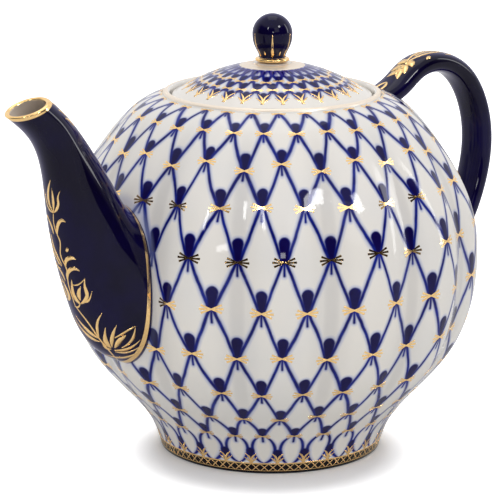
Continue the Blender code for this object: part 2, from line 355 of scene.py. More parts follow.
def plain_spout(turn, along, inset):
    """The spout's loft before its root is laid onto the body; `along` is 0 at the mouth, 1 at the root."""
    at = np.linspace(0.0, 1.0, 200)
    under = np.stack([np.interp(along, at, SPOUT_UNDER_CURVE[:, i]) for i in (0, 1)], axis=-1)
    over = np.stack([np.interp(along, at, SPOUT_OVER_CURVE[:, i]) for i in (0, 1)], axis=-1)
    wall = inset * (SPOUT_MOUTH_WALL + (SPOUT_ROOT_WALL - SPOUT_MOUTH_WALL) * along)
    reach = (over - under) / 2
    reach = reach * (1 - wall / np.linalg.norm(reach, axis=-1))[..., None]
    flat = (over + under) / 2 + reach * np.cos(turn)[..., None]
    half_width = np.interp(along, at, SPOUT_WIDTH_CURVE) - wall
    return np.stack([-flat[..., 0], half_width * np.sin(turn), flat[..., 1]], axis=-1)


def root_shift(inset):
    """How far each side of the spout's root moves along X to stand on the body."""
    root = plain_spout(SPOUT_TURNS, np.ones(SPOUT_STEPS + 1), inset)
    return (onto_body(root, np.array([1.0, 0.0, 0.0])) - root)[:, 0]


ROOT_SHIFT = {0.0: root_shift(0.0), 1.0: root_shift(1.0)}


def spout_wall(turn, rise, inset=0.0):
    """The spout's surface, by the turn from its upper side and the rise from root, 0, to mouth, 1."""
    turn, rise = np.broadcast_arrays(np.asarray(turn, float), np.asarray(rise, float))
    points = plain_spout(turn, np.clip(1 - rise, 0.0, 1.0), inset)
    shift = np.interp(turn % math.tau, SPOUT_TURNS, ROOT_SHIFT[inset])
    points[..., 0] += AXIS_X + shift * np.clip(1 - rise / 0.20, 0.0, 1.0) ** 2
    return points


HANDLE_CURVE = smooth_line(HANDLE_LINE, 400)


def handle_wall(turn, rise):
    """The handle's surface, by the turn from its outer side and the rise from its belly end, 0, to 1."""
    turn, rise = np.broadcast_arrays(np.asarray(turn, float), np.asarray(rise, float))
    at = np.linspace(1.0, 0.0, 400)[::-1]
    place = np.stack([np.interp(rise, at, HANDLE_CURVE[::-1, i]) for i in (0, 1)], axis=-1)
    heading = np.gradient(HANDLE_CURVE, axis=0)[::-1]
    heading = np.stack([np.interp(rise, at, heading[:, i]) for i in (0, 1)], axis=-1)
    heading = heading / np.linalg.norm(heading, axis=-1)[..., None]
    outward = np.stack([-heading[..., 1], heading[..., 0]], axis=-1)
    c = np.sign(np.cos(turn)) * np.abs(np.cos(turn)) ** (2 / HANDLE_SQUARENESS)
    s = np.sign(np.sin(turn)) * np.abs(np.sin(turn)) ** (2 / HANDLE_SQUARENESS)
    flat = place + outward * (HANDLE_HALF_THICKNESS * c)[..., None]
    return np.stack([AXIS_X + flat[..., 0], HANDLE_HALF_WIDTH * s, flat[..., 1]], axis=-1)


# ---------------------------------------------------------------- shader helpers


class Board:
    """A node tree with short ways to add nodes; a value can be a socket, a number or a colour."""

    def __init__(self, tree):
        self.tree = tree

    def add(self, kind, **settings):
        node = self.tree.nodes.new(kind)
        for name, value in settings.items():
            setattr(node, name, value)
        return node

    def join(self, value, socket):
        if isinstance(value, bpy.types.NodeSocket):
            self.tree.links.new(value, socket)
        elif value is not None:
            socket.default_value = value

    def math(self, operation, *values):
        node = self.add("ShaderNodeMath", operation=operation)
        for value, socket in zip(values, node.inputs):
            self.join(value, socket)
        return node.outputs[0]

    def step(self, value, low, high, bottom=0.0, top=1.0):
        """A smooth step of `value` from `bottom` at `low` to `top` at `high`."""
        node = self.add("ShaderNodeMapRange", interpolation_type="SMOOTHSTEP")
        sockets = ("Value", "From Min", "From Max", "To Min", "To Max")
        for name, given in zip(sockets, (value, low, high, bottom, top)):
            self.join(given, node.inputs[name])
        return node.outputs["Result"]

    def mix(self, factor, first, second, blend="MIX"):
        """Two colours mixed; the mix node keeps its pair of colour sockets at places 6 and 7."""
        node = self.add("ShaderNodeMix", data_type="RGBA", blend_type=blend)
        self.join(factor, node.inputs["Factor"])
        self.join(first, node.inputs[6])
        self.join(second, node.inputs[7])
        return node.outputs[2]

    def noise(self, vector, scale, detail=2.0, roughness=0.5):
        node = self.add("ShaderNodeTexNoise")
        self.join(vector, node.inputs["Vector"])
        self.join(scale, node.inputs["Scale"])
        self.join(detail, node.inputs["Detail"])
        self.join(roughness, node.inputs["Roughness"])
        return node

    def parts(self, vector):
        node = self.add("ShaderNodeSeparateXYZ")
        self.join(vector, node.inputs[0])
        return node.outputs

    def place(self):
        return self.add("ShaderNodeTexCoord").outputs["Object"]


def new_group(name, inputs, outputs):
    """A shader node group with named sockets: (name, socket type, default)."""
    tree = bpy.data.node_groups.new(name, "ShaderNodeTree")
    for label, kind, default in inputs:
        socket = tree.interface.new_socket(label, in_out="INPUT", socket_type=kind)
        if default is not None:
            socket.default_value = default
    for label, kind in outputs:
        tree.interface.new_socket(label, in_out="OUTPUT", socket_type=kind)
    board = Board(tree)
    return board, board.add("NodeGroupInput"), board.add("NodeGroupOutput")


FLOAT, COLOUR, VECTOR = "NodeSocketFloat", "NodeSocketColor", "NodeSocketVector"


def net_group(paint):
    """The cobalt net: knots joined by brushed lines, with a drop above and a short tail below each one.

    Net holds the column and the row, and Pitch the size of one cell in millimetres.
    """
    board, given, out = new_group(
        "cobalt_net",
        [
            ("Net", VECTOR, None),
            ("Pitch", VECTOR, None),
            ("Place", VECTOR, None),
            ("Last Row", FLOAT, 9.0),
            ("Line Width", FLOAT, 1.5),
            ("Drop Width", FLOAT, 5.0),
            ("Drop Reach", FLOAT, DROP_REACH),
            ("Bleed", FLOAT, 1.0),
            ("Glaze", COLOUR, (0.8, 0.8, 0.8, 1.0)),
        ],
        [("Colour", COLOUR)],
    )
    m = board.math
    waver = board.noise(given.outputs["Place"], 95.0, 2.0)
    waver_x, waver_y, _ = board.parts(waver.outputs["Color"])
    column, row, _ = board.parts(given.outputs["Net"])
    wide, tall, _ = board.parts(given.outputs["Pitch"])
    column = m("ADD", column, m("MULTIPLY", m("SUBTRACT", waver_x, 0.5), 0.05))
    row = m("ADD", row, m("MULTIPLY", m("SUBTRACT", waver_y, 0.5), 0.05))
    upper = m("MINIMUM", m("FLOOR", row), given.outputs["Last Row"])
    part = m("SUBTRACT", row, upper)
    shifted = m("SUBTRACT", column, m("MULTIPLY", m("PINGPONG", upper, 1.0), 0.5))
    aside = m("PINGPONG", shifted, 0.5)
    from_upper = m("MULTIPLY", aside, wide)
    from_lower = m("MULTIPLY", m("SUBTRACT", 0.5, aside), wide)
    down = m("MULTIPLY", part, tall)
    up = m("MULTIPLY", m("SUBTRACT", 1.0, part), tall)

    # Lines run straight across the belly and round over into arches towards the foot and the rim.
    bend = board.step(row, 6.0, 9.5, 1.0, 0.72)
    straight = m("ADD", 0.03, m("MULTIPLY", 0.43, m("POWER", m("MAXIMUM", part, 0.0), bend)))
    round_part = m("MINIMUM", m("DIVIDE", m("MAXIMUM", part, 0.0), 1.12), 1.0)
    arch = m("MAXIMUM", m("SINE", m("MULTIPLY", round_part, math.pi)), 0.0)
    bubble = m("MULTIPLY", 0.41, m("POWER", arch, 0.5))
    last = board.step(row, 8.98, 9.02)
    path = m("ADD", m("MULTIPLY", straight, m("SUBTRACT", 1.0, last)), m("MULTIPLY", bubble, last))
    slant = m("MULTIPLY", m("DIVIDE", wide, tall), 0.40)
    lean = m("INVERSE_SQRT", m("ADD", 1.0, m("MULTIPLY", slant, slant)))
    half_line = m("MULTIPLY", given.outputs["Line Width"], 0.5)
    line = m("MULTIPLY", m("ABSOLUTE", m("SUBTRACT", aside, path)), m("MULTIPLY", wide, lean))
    line = m("SUBTRACT", line, half_line)

    size = m("POWER", m("DIVIDE", wide, 22.4), 0.6)
    big = m("MULTIPLY", m("MULTIPLY", given.outputs["Drop Width"], 0.5), size)
    small = m("MULTIPLY", big, 0.55)
    above = m("SUBTRACT", up, small)
    length = m("SUBTRACT", m("MULTIPLY", tall, given.outputs["Drop Reach"]), big)
    length = m("MAXIMUM", m("SUBTRACT", length, small), 0.3)
    share = m("MINIMUM", m("MAXIMUM", m("DIVIDE", above, length), 0.0), 1.0)
    off = m("SUBTRACT", above, m("MULTIPLY", share, length))
    drop = m("SQRT", m("ADD", m("MULTIPLY", from_lower, from_lower), m("MULTIPLY", off, off)))
    drop = m("SUBTRACT", drop, m("ADD", small, m("MULTIPLY", share, m("SUBTRACT", big, small))))

    past = m("MAXIMUM", m("SUBTRACT", down, m("MULTIPLY", tall, 0.26)), 0.0)
    tail = m("SQRT", m("ADD", m("MULTIPLY", from_upper, from_upper), m("MULTIPLY", past, past)))
    tail = m("SUBTRACT", tail, m("MULTIPLY", half_line, 0.75))

    nearest = m("SMOOTH_MIN", m("SMOOTH_MIN", line, tail, 0.5), drop, 1.0)
    bleed = given.outputs["Bleed"]
    ink = board.step(nearest, m("MULTIPLY", bleed, 0.55), m("MULTIPLY", bleed, -0.40))
    halo = board.step(nearest, m("MULTIPLY", bleed, 2.0), 0.0)
    core = board.step(m("SMOOTH_MIN", drop, m("ADD", line, 0.8), 0.9), 0.3, -0.9)
    pool = board.noise(given.outputs["Place"], 160.0, 3.0).outputs["Fac"]
    below_rim = board.step(row, -0.04, 0.02)
    ink = m("MULTIPLY", ink, below_rim)
    halo = m("MULTIPLY", m("MULTIPLY", halo, 0.6), below_rim)
    core = m("MULTIPLY", core, below_rim)
    tint = board.mix(halo, given.outputs["Glaze"], tuple(paint.wash))
    blue = board.mix(board.step(pool, 0.35, 0.7), tuple(paint.cobalt), tuple(paint.cobalt_light))
    tint = board.mix(ink, tint, blue)
    tint = board.mix(m("MULTIPLY", core, 0.9), tint, tuple(paint.cobalt_deep))
    board.join(tint, out.inputs["Colour"])
    return board.tree


def glaze_group():
    """Fired glaze: a faint unevenness of tone, and the soft ripple of its surface."""
    board, given, out = new_group(
        "fired_glaze",
        [
            ("Place", VECTOR, None),
            ("Colour", COLOUR, (0.8, 0.8, 0.8, 1.0)),
            ("Shade", COLOUR, (0.7, 0.7, 0.7, 1.0)),
        ],
        [("Colour", COLOUR), ("Roughness", FLOAT), ("Ripple", FLOAT)],
    )
    place = given.outputs["Place"]
    cloud = board.noise(place, 26.0, 3.0).outputs["Fac"]
    fine = board.noise(place, 420.0, 2.0).outputs["Fac"]
    patch = board.step(cloud, 0.35, 0.75, 0.0, 0.6)
    tint = board.mix(patch, given.outputs["Colour"], given.outputs["Shade"])
    board.join(tint, out.inputs["Colour"])
    rough = board.math("ADD", 0.035, board.math("MULTIPLY", board.step(fine, 0.55, 0.8), 0.03))
    board.join(rough, out.inputs["Roughness"])
    swell = board.noise(place, 55.0, 1.0).outputs["Fac"]
    ripple = board.math("ADD", swell, board.math("MULTIPLY", fine, 0.05))
    board.join(ripple, out.inputs["Ripple"])
    return board.tree


def new_material(name):
    made = bpy.data.materials.new(name)
    made.use_nodes = True
    board = Board(made.node_tree)
    return made, board, made.node_tree.nodes["Principled BSDF"]


def use_group(board, tree, **values):
    node = board.add("ShaderNodeGroup", node_tree=tree)
    for name, value in values.items():
        board.join(value, node.inputs[name.replace("_", " ")])
    return node


def set_ripple(board, shader, height, strength, distance):
    bump = board.add("ShaderNodeBump")
    board.join(height, bump.inputs["Height"])
    bump.inputs["Strength"].default_value = strength
    bump.inputs["Distance"].default_value = distance
    board.join(bump.outputs["Normal"], shader.inputs["Normal"])


def white_glaze_material(name, glaze, light, shade):
    """Plain white glaze, as on the inside and under the lid."""
    made, board, shader = new_material(name)
    node = use_group(board, glaze, Place=board.place(), Colour=light, Shade=shade)
    board.join(node.outputs["Colour"], shader.inputs["Base Color"])
    board.join(node.outputs["Roughness"], shader.inputs["Roughness"])
    set_ripple(board, shader, node.outputs["Ripple"], 0.12, 0.0006)
    return made


def net_material(name, net, glaze, last_row, line_width, drop_width, drop_reach, skirt):
    """White glaze with the net painted under it; `skirt` lists what else is painted on it."""
    made, board, shader = new_material(name)
    paint = bpy.context.scene.teapot_paint
    place = board.place()
    tones = {"Colour": tuple(paint.porcelain), "Shade": tuple(paint.porcelain_shade)}
    white = use_group(board, glaze, Place=place, **tones)
    painted = use_group(
        board,
        net,
        Net=board.add("ShaderNodeUVMap", uv_map="net").outputs[0],
        Pitch=board.add("ShaderNodeUVMap", uv_map="pitch").outputs[0],
        Place=place,
        Last_Row=float(last_row),
        Line_Width=line_width,
        Drop_Width=drop_width,
        Drop_Reach=drop_reach,
        Bleed=paint.bleed,
        Glaze=white.outputs["Colour"],
    )
    colour = painted.outputs["Colour"]
    for add_paint in skirt:
        colour = add_paint(board, place, colour)
    board.join(colour, shader.inputs["Base Color"])
    shader.inputs["Specular IOR Level"].default_value = PORCELAIN_SHEEN
    board.join(white.outputs["Roughness"], shader.inputs["Roughness"])
    set_ripple(board, shader, white.outputs["Ripple"], 0.12, 0.0006)
    return made


def root_skirt(board, place, colour):
    """A pale blue tint on the body round the spout's root, fading outwards and stronger higher up."""
    paint = bpy.context.scene.teapot_paint
    m = board.math
    x, y, z = board.parts(place)
    side = m("DIVIDE", y, ROOT_HALF_WIDTH)
    rise = m("DIVIDE", m("SUBTRACT", z, ROOT_MIDDLE), ROOT_HALF_HEIGHT)
    away = m("SQRT", m("ADD", m("MULTIPLY", side, side), m("MULTIPLY", rise, rise)))
    away = m("ADD", away, m("MULTIPLY", m("GREATER_THAN", x, -0.04), 9.0))
    blush = m("MULTIPLY", board.step(away, 1.13, 1.02, 0.0, 0.40), board.step(z, 0.098, 0.125, 0.2, 1.0))
    return board.mix(blush, colour, tuple(paint.wash))


def painted_valley_shade(board, place, colour):
    """Painted shade: the valleys between the lobes made a little greyer."""
    m = board.math
    x, y, z = board.parts(place)
    angle = m("ARCTAN2", y, m("SUBTRACT", x, AXIS_X))
    wave = m("COSINE", m("MULTIPLY", angle, float(LOBES)))
    narrow = board.step(wave, -0.70, -1.0)
    wide = board.step(wave, 0.2, -1.0, 0.0, 0.4)
    body = m("MULTIPLY", board.step(z, 0.018, 0.060), board.step(z, 0.170, 0.150))
    share = m("MULTIPLY", m("MAXIMUM", narrow, wide), m("MULTIPLY", body, 0.20))
    return board.mix(share, colour, linear(VALLEY_PAINTED_SHADE), blend="MULTIPLY")


def foot_ground(board, place, colour):
    """The dark ground of the band round the foot."""
    _, _, z = board.parts(place)
    band = board.step(z, FOOT_BAND_TOP + 0.0001, FOOT_BAND_TOP - 0.0001)
    return board.mix(band, colour, linear(FOOT_BAND_GROUND))


def cobalt_material(name, glaze):
    """Deep cobalt glaze, near black, with bluer patches at random, and a painted blue rim light where the
    surface turns away from the view.
    """
    made, board, shader = new_material(name)
    paint = bpy.context.scene.teapot_paint
    place = board.place()
    tones = {"Colour": tuple(paint.glaze_dark), "Shade": tuple(paint.glaze_blue)}
    node = use_group(board, glaze, Place=place, **tones)
    # Painted rim light: blue where the surface turns away from the view.
    edge = board.add("ShaderNodeLayerWeight")
    edge.inputs["Blend"].default_value = 0.4
    thin = board.step(edge.outputs["Facing"], 0.25, 0.85, 0.0, 0.75)
    colour = board.mix(thin, node.outputs["Colour"], linear(COBALT_RIM_LIGHT))
    board.join(colour, shader.inputs["Base Color"])
    board.join(node.outputs["Roughness"], shader.inputs["Roughness"])
    shader.inputs["Specular IOR Level"].default_value = COBALT_SHEEN
    set_ripple(board, shader, node.outputs["Ripple"], 0.10, 0.0006)
    return made


def gold_material():
    """Burnished gold, a little worn and brushed."""
    made, board, shader = new_material("burnished_gold")
    gilding = bpy.context.scene.teapot_gilding
    place = board.place()
    wear = board.noise(place, 900.0, 3.0).outputs["Fac"]
    tint = board.mix(board.step(wear, 0.35, 0.75, 0.0, 0.7), tuple(gilding.gold), tuple(gilding.gold_worn))
    board.join(tint, shader.inputs["Base Color"])
    board.join(board.step(wear, 0.3, 0.8, 0.08, 0.22), shader.inputs["Roughness"])
    shader.inputs["Metallic"].default_value = 1.0
    set_ripple(board, shader, board.noise(place, 1500.0, 2.0).outputs["Fac"], 0.15, 0.00005)
    return made


def pale_gold_material():
    """Thin matt gold, that shows the glaze through it."""
    made, board, shader = new_material("pale_gold")
    place = board.place()
    wear = board.noise(place, 700.0, 3.0).outputs["Fac"]
    tint = board.mix(board.step(wear, 0.3, 0.75), PALE_GOLD, PALE_GOLD_WORN)
    board.join(tint, shader.inputs["Base Color"])
    board.join(board.step(wear, 0.3, 0.8, 0.32, 0.36), shader.inputs["Roughness"])
    shader.inputs["Metallic"].default_value = 0.4
    set_ripple(board, shader, board.noise(place, 1500.0, 2.0).outputs["Fac"], 0.05, 0.00003)
    return made


def shared(name, make):
    """The material or node group of that name, made on its first use."""
    kept = bpy.data.materials.get(name) or bpy.data.node_groups.get(name)
    return kept or make()


def glaze():
    return shared("fired_glaze", glaze_group)


def net():
    return shared("cobalt_net", lambda: net_group(bpy.context.scene.teapot_paint))


def white_glaze():
    paint = bpy.context.scene.teapot_paint
    tones = tuple(paint.porcelain), tuple(paint.porcelain_shade)
    return shared("white_glaze", lambda: white_glaze_material("white_glaze", glaze(), *tones))


def spout_shadow_glaze():
    """The glaze inside the spout, a darker, browner white: painted shadow."""
    tones = linear(SPOUT_INSIDE_SHADOW), linear(SPOUT_INSIDE_SHADOW_PATCHES)
    return shared("spout_shadow_glaze", lambda: white_glaze_material("spout_shadow_glaze", glaze(), *tones))


def cobalt_glaze():
    return shared("deep_cobalt_glaze", lambda: cobalt_material("deep_cobalt_glaze", glaze()))


def gold():
    return shared("burnished_gold", gold_material)


def pale_gold():
    return shared("pale_gold", pale_gold_material)


# ---------------------------------------------------------------- mesh helpers


def finished(name, bm, materials, body, replaces=None, recalculate=True):
    """Turns a bmesh into a piece in its place, with its materials, that rides on a body."""
    if recalculate:
        bmesh.ops.recalc_face_normals(bm, faces=bm.faces)
    for face in bm.faces:
        face.smooth = True
    mesh = bpy.data.meshes.new(name)
    bm.to_mesh(mesh)
    bm.free()
    for surface in materials:
        mesh.materials.append(surface)
    piece = bpy.data.objects.new(name, mesh)
    bpy.context.scene.collection.objects.link(piece)
    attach(piece, body)
    if replaces:
        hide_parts(replaces)
    return piece


def spun(profile, steps):
    """A profile (radius, height) spun a full turn about the upright axis, with its poles closed."""
    bm = bmesh.new()
    corners = [bm.verts.new((r, 0.0, z)) for r, z in profile]
    edges = [bm.edges.new(pair) for pair in zip(corners, corners[1:])]
    bmesh.ops.spin(
        bm,
        geom=corners + edges,
        cent=(0, 0, 0),
        axis=(0, 0, 1),
        angle=math.tau,
        steps=steps,
        use_merge=True,
        use_duplicate=False,
    )
    bmesh.ops.remove_doubles(bm, verts=bm.verts, dist=0.000002)
    bmesh.ops.recalc_face_normals(bm, faces=bm.faces)
    return bm


def moved_to_axis(bm):
    bmesh.ops.translate(bm, verts=bm.verts, vec=(AXIS_X, 0, 0))


def arc(centre, radius, start, end, count):
    """Points of a circular arc, angles in degrees, as (radius, height)."""
    turns = [math.radians(start + (end - start) * i / (count - 1)) for i in range(count)]
    return [(centre[0] + radius * math.cos(t), centre[1] + radius * math.sin(t)) for t in turns]


def ring_edges(bm, points):
    corners = [bm.verts.new(point) for point in points]
    return [bm.edges.new((corners[i - 1], corners[i])) for i in range(len(corners))]


def bridged(rings):
    """Walls between each ring and the next, bridged in one mesh."""
    bm = bmesh.new()
    made = [ring_edges(bm, ring) for ring in rings]
    for first, second in zip(made, made[1:]):
        bmesh.ops.bridge_loops(bm, edges=first + second)
    return bm, made


def write_net_maps(bm, columns, start, row_of, pitch_of):
    """Two maps for the painted net: column and row, and the width and height of one cell in millimetres."""
    net_map = bm.loops.layers.uv.new("net")
    pitch_map = bm.loops.layers.uv.new("pitch")
    bm.verts.ensure_lookup_table()
    points = np.array([vertex.co for vertex in bm.verts])
    angles = np.arctan2(points[:, 1], points[:, 0])
    column = ((angles - math.pi) / math.tau * columns - start) % columns
    row = row_of(points)
    wide, tall = pitch_of(points, row)
    drift_u, drift_v = net_drift(column, row, columns)
    column_drifted = column - drift_u
    row_drifted = row - drift_v
    for face in bm.faces:
        base = column_drifted[face.verts[0].index]
        for loop in face.loops:
            index = loop.vert.index
            value = column_drifted[index]
            value -= columns * round((value - base) / columns)
            loop[net_map].uv = (value, row_drifted[index])
            loop[pitch_map].uv = (wide[index], tall[index])


DRIFT_ROWS = 14
DRIFT_TABLES = {}


def net_drift(column, row, columns):
    """How far the painter's hand strays from the even net, in columns and rows, smoothly between knots."""
    if columns not in DRIFT_TABLES:
        hand = random.Random(columns)
        stray = [hand.uniform(-1, 1) for _ in range(2 * columns * DRIFT_ROWS * 2)]
        table = np.array(stray).reshape(2 * columns, DRIFT_ROWS, 2) * NET_DRIFT
        if columns == NET_COLUMNS:
            for level, sag in NET_SAG.items():
                share = sag / (NET_HEIGHTS[level] - NET_HEIGHTS[level + 1])
                table[2::4, level, 1] += share / 2
                table[0::4, level, 1] -= share / 2
        DRIFT_TABLES[columns] = table
    table = DRIFT_TABLES[columns]
    across = np.asarray(column) * 2
    left = np.floor(across).astype(int)
    above = np.clip(np.floor(row).astype(int), 0, DRIFT_ROWS - 2)
    s = ramp(across - left, 0, 1)[..., None]
    t = ramp(np.asarray(row) - above, 0, 1)[..., None]
    left, right = left % (2 * columns), (left + 1) % (2 * columns)
    upper = table[left, above] * (1 - s) + table[right, above] * s
    lower = table[left, above + 1] * (1 - s) + table[right, above + 1] * s
    both = upper * (1 - t) + lower * t
    return both[..., 0], both[..., 1]


NET_REACHES = reach_at(NET_HEIGHTS)
ROW_COUNT = len(NET_HEIGHTS)
BOW_RIM_GAP = 0.0024

# The same rows with one more at each end, for what lies past the first and the last.
WIDER_ROWS = np.arange(-1, ROW_COUNT + 1)
WIDER_REACHES = np.concatenate(
    [[2 * NET_REACHES[0] - NET_REACHES[1]], NET_REACHES, [2 * NET_REACHES[-1] - NET_REACHES[-2]]]
)


def row_of_reach(reach):
    """The net row, 0 at the rim, of a distance up the body's outline."""
    return np.interp(-np.asarray(reach), -WIDER_REACHES, WIDER_ROWS)


def reach_of_row(row):
    return np.interp(row, WIDER_ROWS, WIDER_REACHES)


def body_rows(points):
    return row_of_reach(reach_at(points[:, 2]))


def body_pitch(points, row):
    wide = np.hypot(points[:, 0], points[:, 1]) * math.tau / NET_COLUMNS * 1000
    tall = np.abs(np.diff(NET_REACHES)) * 1000
    middles = np.arange(ROW_COUNT - 1) + 0.5
    return wide, np.interp(row, middles, tall)


# ---------------------------------------------------------------- strokes of gold


def slopes_of(surface, u, v):
    """How a surface runs along its two directions at a place, each over two nudges."""
    along_u = surface(u + NUDGE, v) - surface(u - NUDGE, v)
    along_v = surface(u, v + NUDGE) - surface(u, v - NUDGE)
    return along_u, along_v


def normals_of(surface, u, v):
    normal = np.cross(*slopes_of(surface, u, v))
    return normal / np.linalg.norm(normal, axis=1)[:, None]


def laid(surface, origin, flat):
    """Points drawn flat (across, along, lift) laid onto a surface round an origin, or onto a chart."""
    u, v = flat[:, 0], flat[:, 1]
    if origin is not None:
        pace_u, pace_v = (np.linalg.norm(slope) / (2 * NUDGE) for slope in slopes_of(surface, *origin))
        u, v = origin[0] + u / pace_u, origin[1] + v / pace_v
    return surface(u, v) + normals_of(surface, u, v) * flat[:, 2:3]


def drawn(bm):
    """A flat drawing's mesh and its points."""
    bmesh.ops.recalc_face_normals(bm, faces=bm.faces)
    mesh = bpy.data.meshes.new("drawing")
    bm.to_mesh(mesh)
    bm.free()
    points = np.empty(len(mesh.vertices) * 3)
    mesh.vertices.foreach_get("co", points)
    return mesh, points.reshape(-1, 3)


def stamped(target, drawing, surface, origin, turn=0.0, size=1.0):
    """Adds a copy of a flat drawing to `target`, turned, sized and laid onto a surface."""
    mesh, flat = drawing
    c, s = math.cos(turn), math.sin(turn)
    x, y, lift = (flat * np.array([size, size, 1.0])).T
    spread = np.stack([x * c - y * s, x * s + y * c, lift], axis=1)
    copy = mesh.copy()
    copy.vertices.foreach_set("co", laid(surface, origin, spread).ravel())
    target.from_mesh(copy)
    bpy.data.meshes.remove(copy)


def add_bar(bm, half_length, middle_width, end_width, turn, lift):
    """A straight stroke through the origin, slim in the middle and blunt at both ends."""
    made = bmesh.ops.create_grid(bm, x_segments=4, y_segments=1, size=1.0)["verts"]
    for vertex in made:
        x, y, _ = vertex.co
        width = middle_width + (end_width - middle_width) * abs(x) ** 1.2
        vertex.co = (x * half_length, y * width / 2, -SINK)
    faces = list({face for vertex in made for face in vertex.link_faces})
    raised = bmesh.ops.extrude_face_region(bm, geom=faces, use_keep_orig=True)["geom"]
    top = [item for item in raised if isinstance(item, bmesh.types.BMVert)]
    for edge in {edge for vertex in top for edge in vertex.link_edges}:
        edge.smooth = len(edge.link_faces) == 2 and all(face in raised for face in edge.link_faces)
    for vertex in top:
        vertex.co.y *= 0.9
        vertex.co.z = lift
    bmesh.ops.rotate(bm, verts=made + top, cent=(0, 0, 0), matrix=Matrix.Rotation(turn, 3, "Z"))


def add_leaf(bm, path, widths, lift, segments=8):
    """A brushed stroke along a path, as wide as `widths` says along it, with a raised middle."""
    line = smooth_line(path, 60) if len(path) > 2 else np.linspace(path[0], path[1], 60)
    headings = np.gradient(line, axis=0)
    headings /= np.linalg.norm(headings, axis=1)[:, None]
    at = np.linspace(0, 1, 60)
    made = bmesh.ops.create_grid(bm, x_segments=segments, y_segments=2, size=1.0)["verts"]
    faces = list({face for vertex in made for face in vertex.link_faces})
    top = bmesh.ops.extrude_face_region(bm, geom=faces, use_keep_orig=True)["geom"]
    top = [item for item in top if isinstance(item, bmesh.types.BMVert)]
    for group, height in ((made, -SINK), (top, lift)):
        for vertex in group:
            along, side = (vertex.co.x + 1) / 2, vertex.co.y
            centre = np.array([np.interp(along, at, line[:, i]) for i in (0, 1)])
            heading = np.array([np.interp(along, at, headings[:, i]) for i in (0, 1)])
            width = np.interp(along, np.linspace(0, 1, len(widths)), widths)
            spot = centre + np.array([-heading[1], heading[0]]) * side * width / 2
            rise = height if height < 0 or abs(side) < 0.5 else height * 0.35
            vertex.co = (spot[0], spot[1], rise)


def bow_drawing(gilding):
    """Six short gold strokes across a knot of the net."""
    bm = bmesh.new()
    half = gilding.bow_width / 2
    lift = gilding.stroke_height
    for turn, share in ((0.0, 1.0), (0.38, 0.92), (-0.38, 0.92)):
        add_bar(bm, half * share, 0.00068, 0.00112, turn, lift)
    return drawn(bm)


def sprig_drawing(reach, lift):
    """A little gold tuft: a short stem with two curved leaves on each side."""
    bm = bmesh.new()
    for side in (-1, 1):
        outer = np.array([(0.0, -0.10), (side * 0.10, 0.38), (side * 0.52, 0.92)]) * reach
        inner = np.array([(0.0, -0.15), (side * 0.26, 0.12), (side * 0.60, 0.42)]) * reach
        add_leaf(bm, outer, [0.0006, 0.0008, 0.0011, 0.0008, 0.0003], lift, segments=5)
        add_leaf(bm, inner, [0.0006, 0.0008, 0.0010, 0.0007, 0.0003], lift, segments=5)
    stem = np.array([(0.0, -0.35), (0.0, 0.42)]) * reach
    add_leaf(bm, stem, [0.0016, 0.0015, 0.0012, 0.0005], lift * 1.1, segments=4)
    return drawn(bm)


def bar_drawing(start, end, width, lift, segments):
    bm = bmesh.new()
    add_leaf(bm, [start, end], [width, width], lift, segments=segments)
    return drawn(bm)


def knots(rows, columns, start):
    """The angle and the row of each knot of a net, where the painter's hand has put it."""
    for row in rows:
        for i in range(columns):
            column = i + 0.5 * (row % 2)
            drift_u, drift_v = net_drift(np.array([column]), np.array([float(row)]), columns)
            angle = math.pi + (column + float(drift_u[0]) + start) * math.tau / columns
            yield angle, row + float(drift_v[0])


def hidden_by_fittings(angle, height):
    """Whether a knot lies under the spout's root or an end of the handle."""
    x, y = math.cos(angle), math.sin(angle)
    if x < 0:
        side = 0.097 * y / ROOT_HALF_WIDTH
        return math.hypot(side, (height - ROOT_MIDDLE) / ROOT_HALF_HEIGHT) < 1.10
    side = 0.090 * y / HANDLE_END_HALF_WIDTH
    return any(math.hypot(side, (height - middle) / half) < 1.0 for middle, half in HANDLE_END_HEIGHTS)


# ---------------------------------------------------------------- settings


def colour_setting(name, description, default):
    return bpy.props.FloatVectorProperty(
        name=name, description=description, subtype="COLOR", size=4, default=default
    )


def length_setting(name, description, default, **limits):
    return bpy.props.FloatProperty(
        name=name, description=description, subtype="DISTANCE", unit="LENGTH", default=default, **limits
    )


def number_setting(name, description, default, low, high):
    return bpy.props.FloatProperty(name=name, description=description, default=default, min=low, max=high)


class TeapotPaint(bpy.types.PropertyGroup):
    porcelain: colour_setting("Porcelain", "White of the glaze", linear((232, 228, 222)))
    porcelain_shade: colour_setting("Porcelain shade", "Where the glaze is cooler", linear((224, 223, 222)))
    wash: colour_setting("Wash", "Pale blue where the cobalt bleeds", linear((150, 162, 208)))
    cobalt: colour_setting("Cobalt", "Blue of the painted lines", linear((14, 20, 102)))
    cobalt_light: colour_setting("Thin cobalt", "Blue where the brush ran dry", linear((26, 40, 136)))
    cobalt_deep: colour_setting("Deep cobalt", "Violet black in the drops", linear((16, 6, 62)))
    glaze_dark: colour_setting("Dark glaze", "Glaze of the spout and handle", linear((8, 4, 30)))
    glaze_blue: colour_setting("Blue glaze", "Where that glaze lies thin", linear((16, 8, 72)))
    line_width: number_setting("Line width", "Painted line, in millimetres", 1.5, 0.5, 3.0)
    drop_width: number_setting("Drop width", "Painted drop, in millimetres", 5.7, 2.0, 8.0)
    bleed: number_setting("Bleed", "How far the paint spreads, in millimetres", 0.9, 0.1, 3.0)


class TeapotGilding(bpy.types.PropertyGroup):
    gold: colour_setting("Gold", "Burnished gold", (1.0, 0.69, 0.31, 1.0))
    gold_worn: colour_setting("Worn gold", "Gold where it is thin", (0.93, 0.57, 0.22, 1.0))
    bow_width: length_setting("Bow width", "Width of a bow on the belly", 0.0112, min=0.004, max=0.02)
    stroke_height: length_setting(
        "Stroke height", "How proud the gold stands", 0.00007, min=0.00002, max=0.001
    )


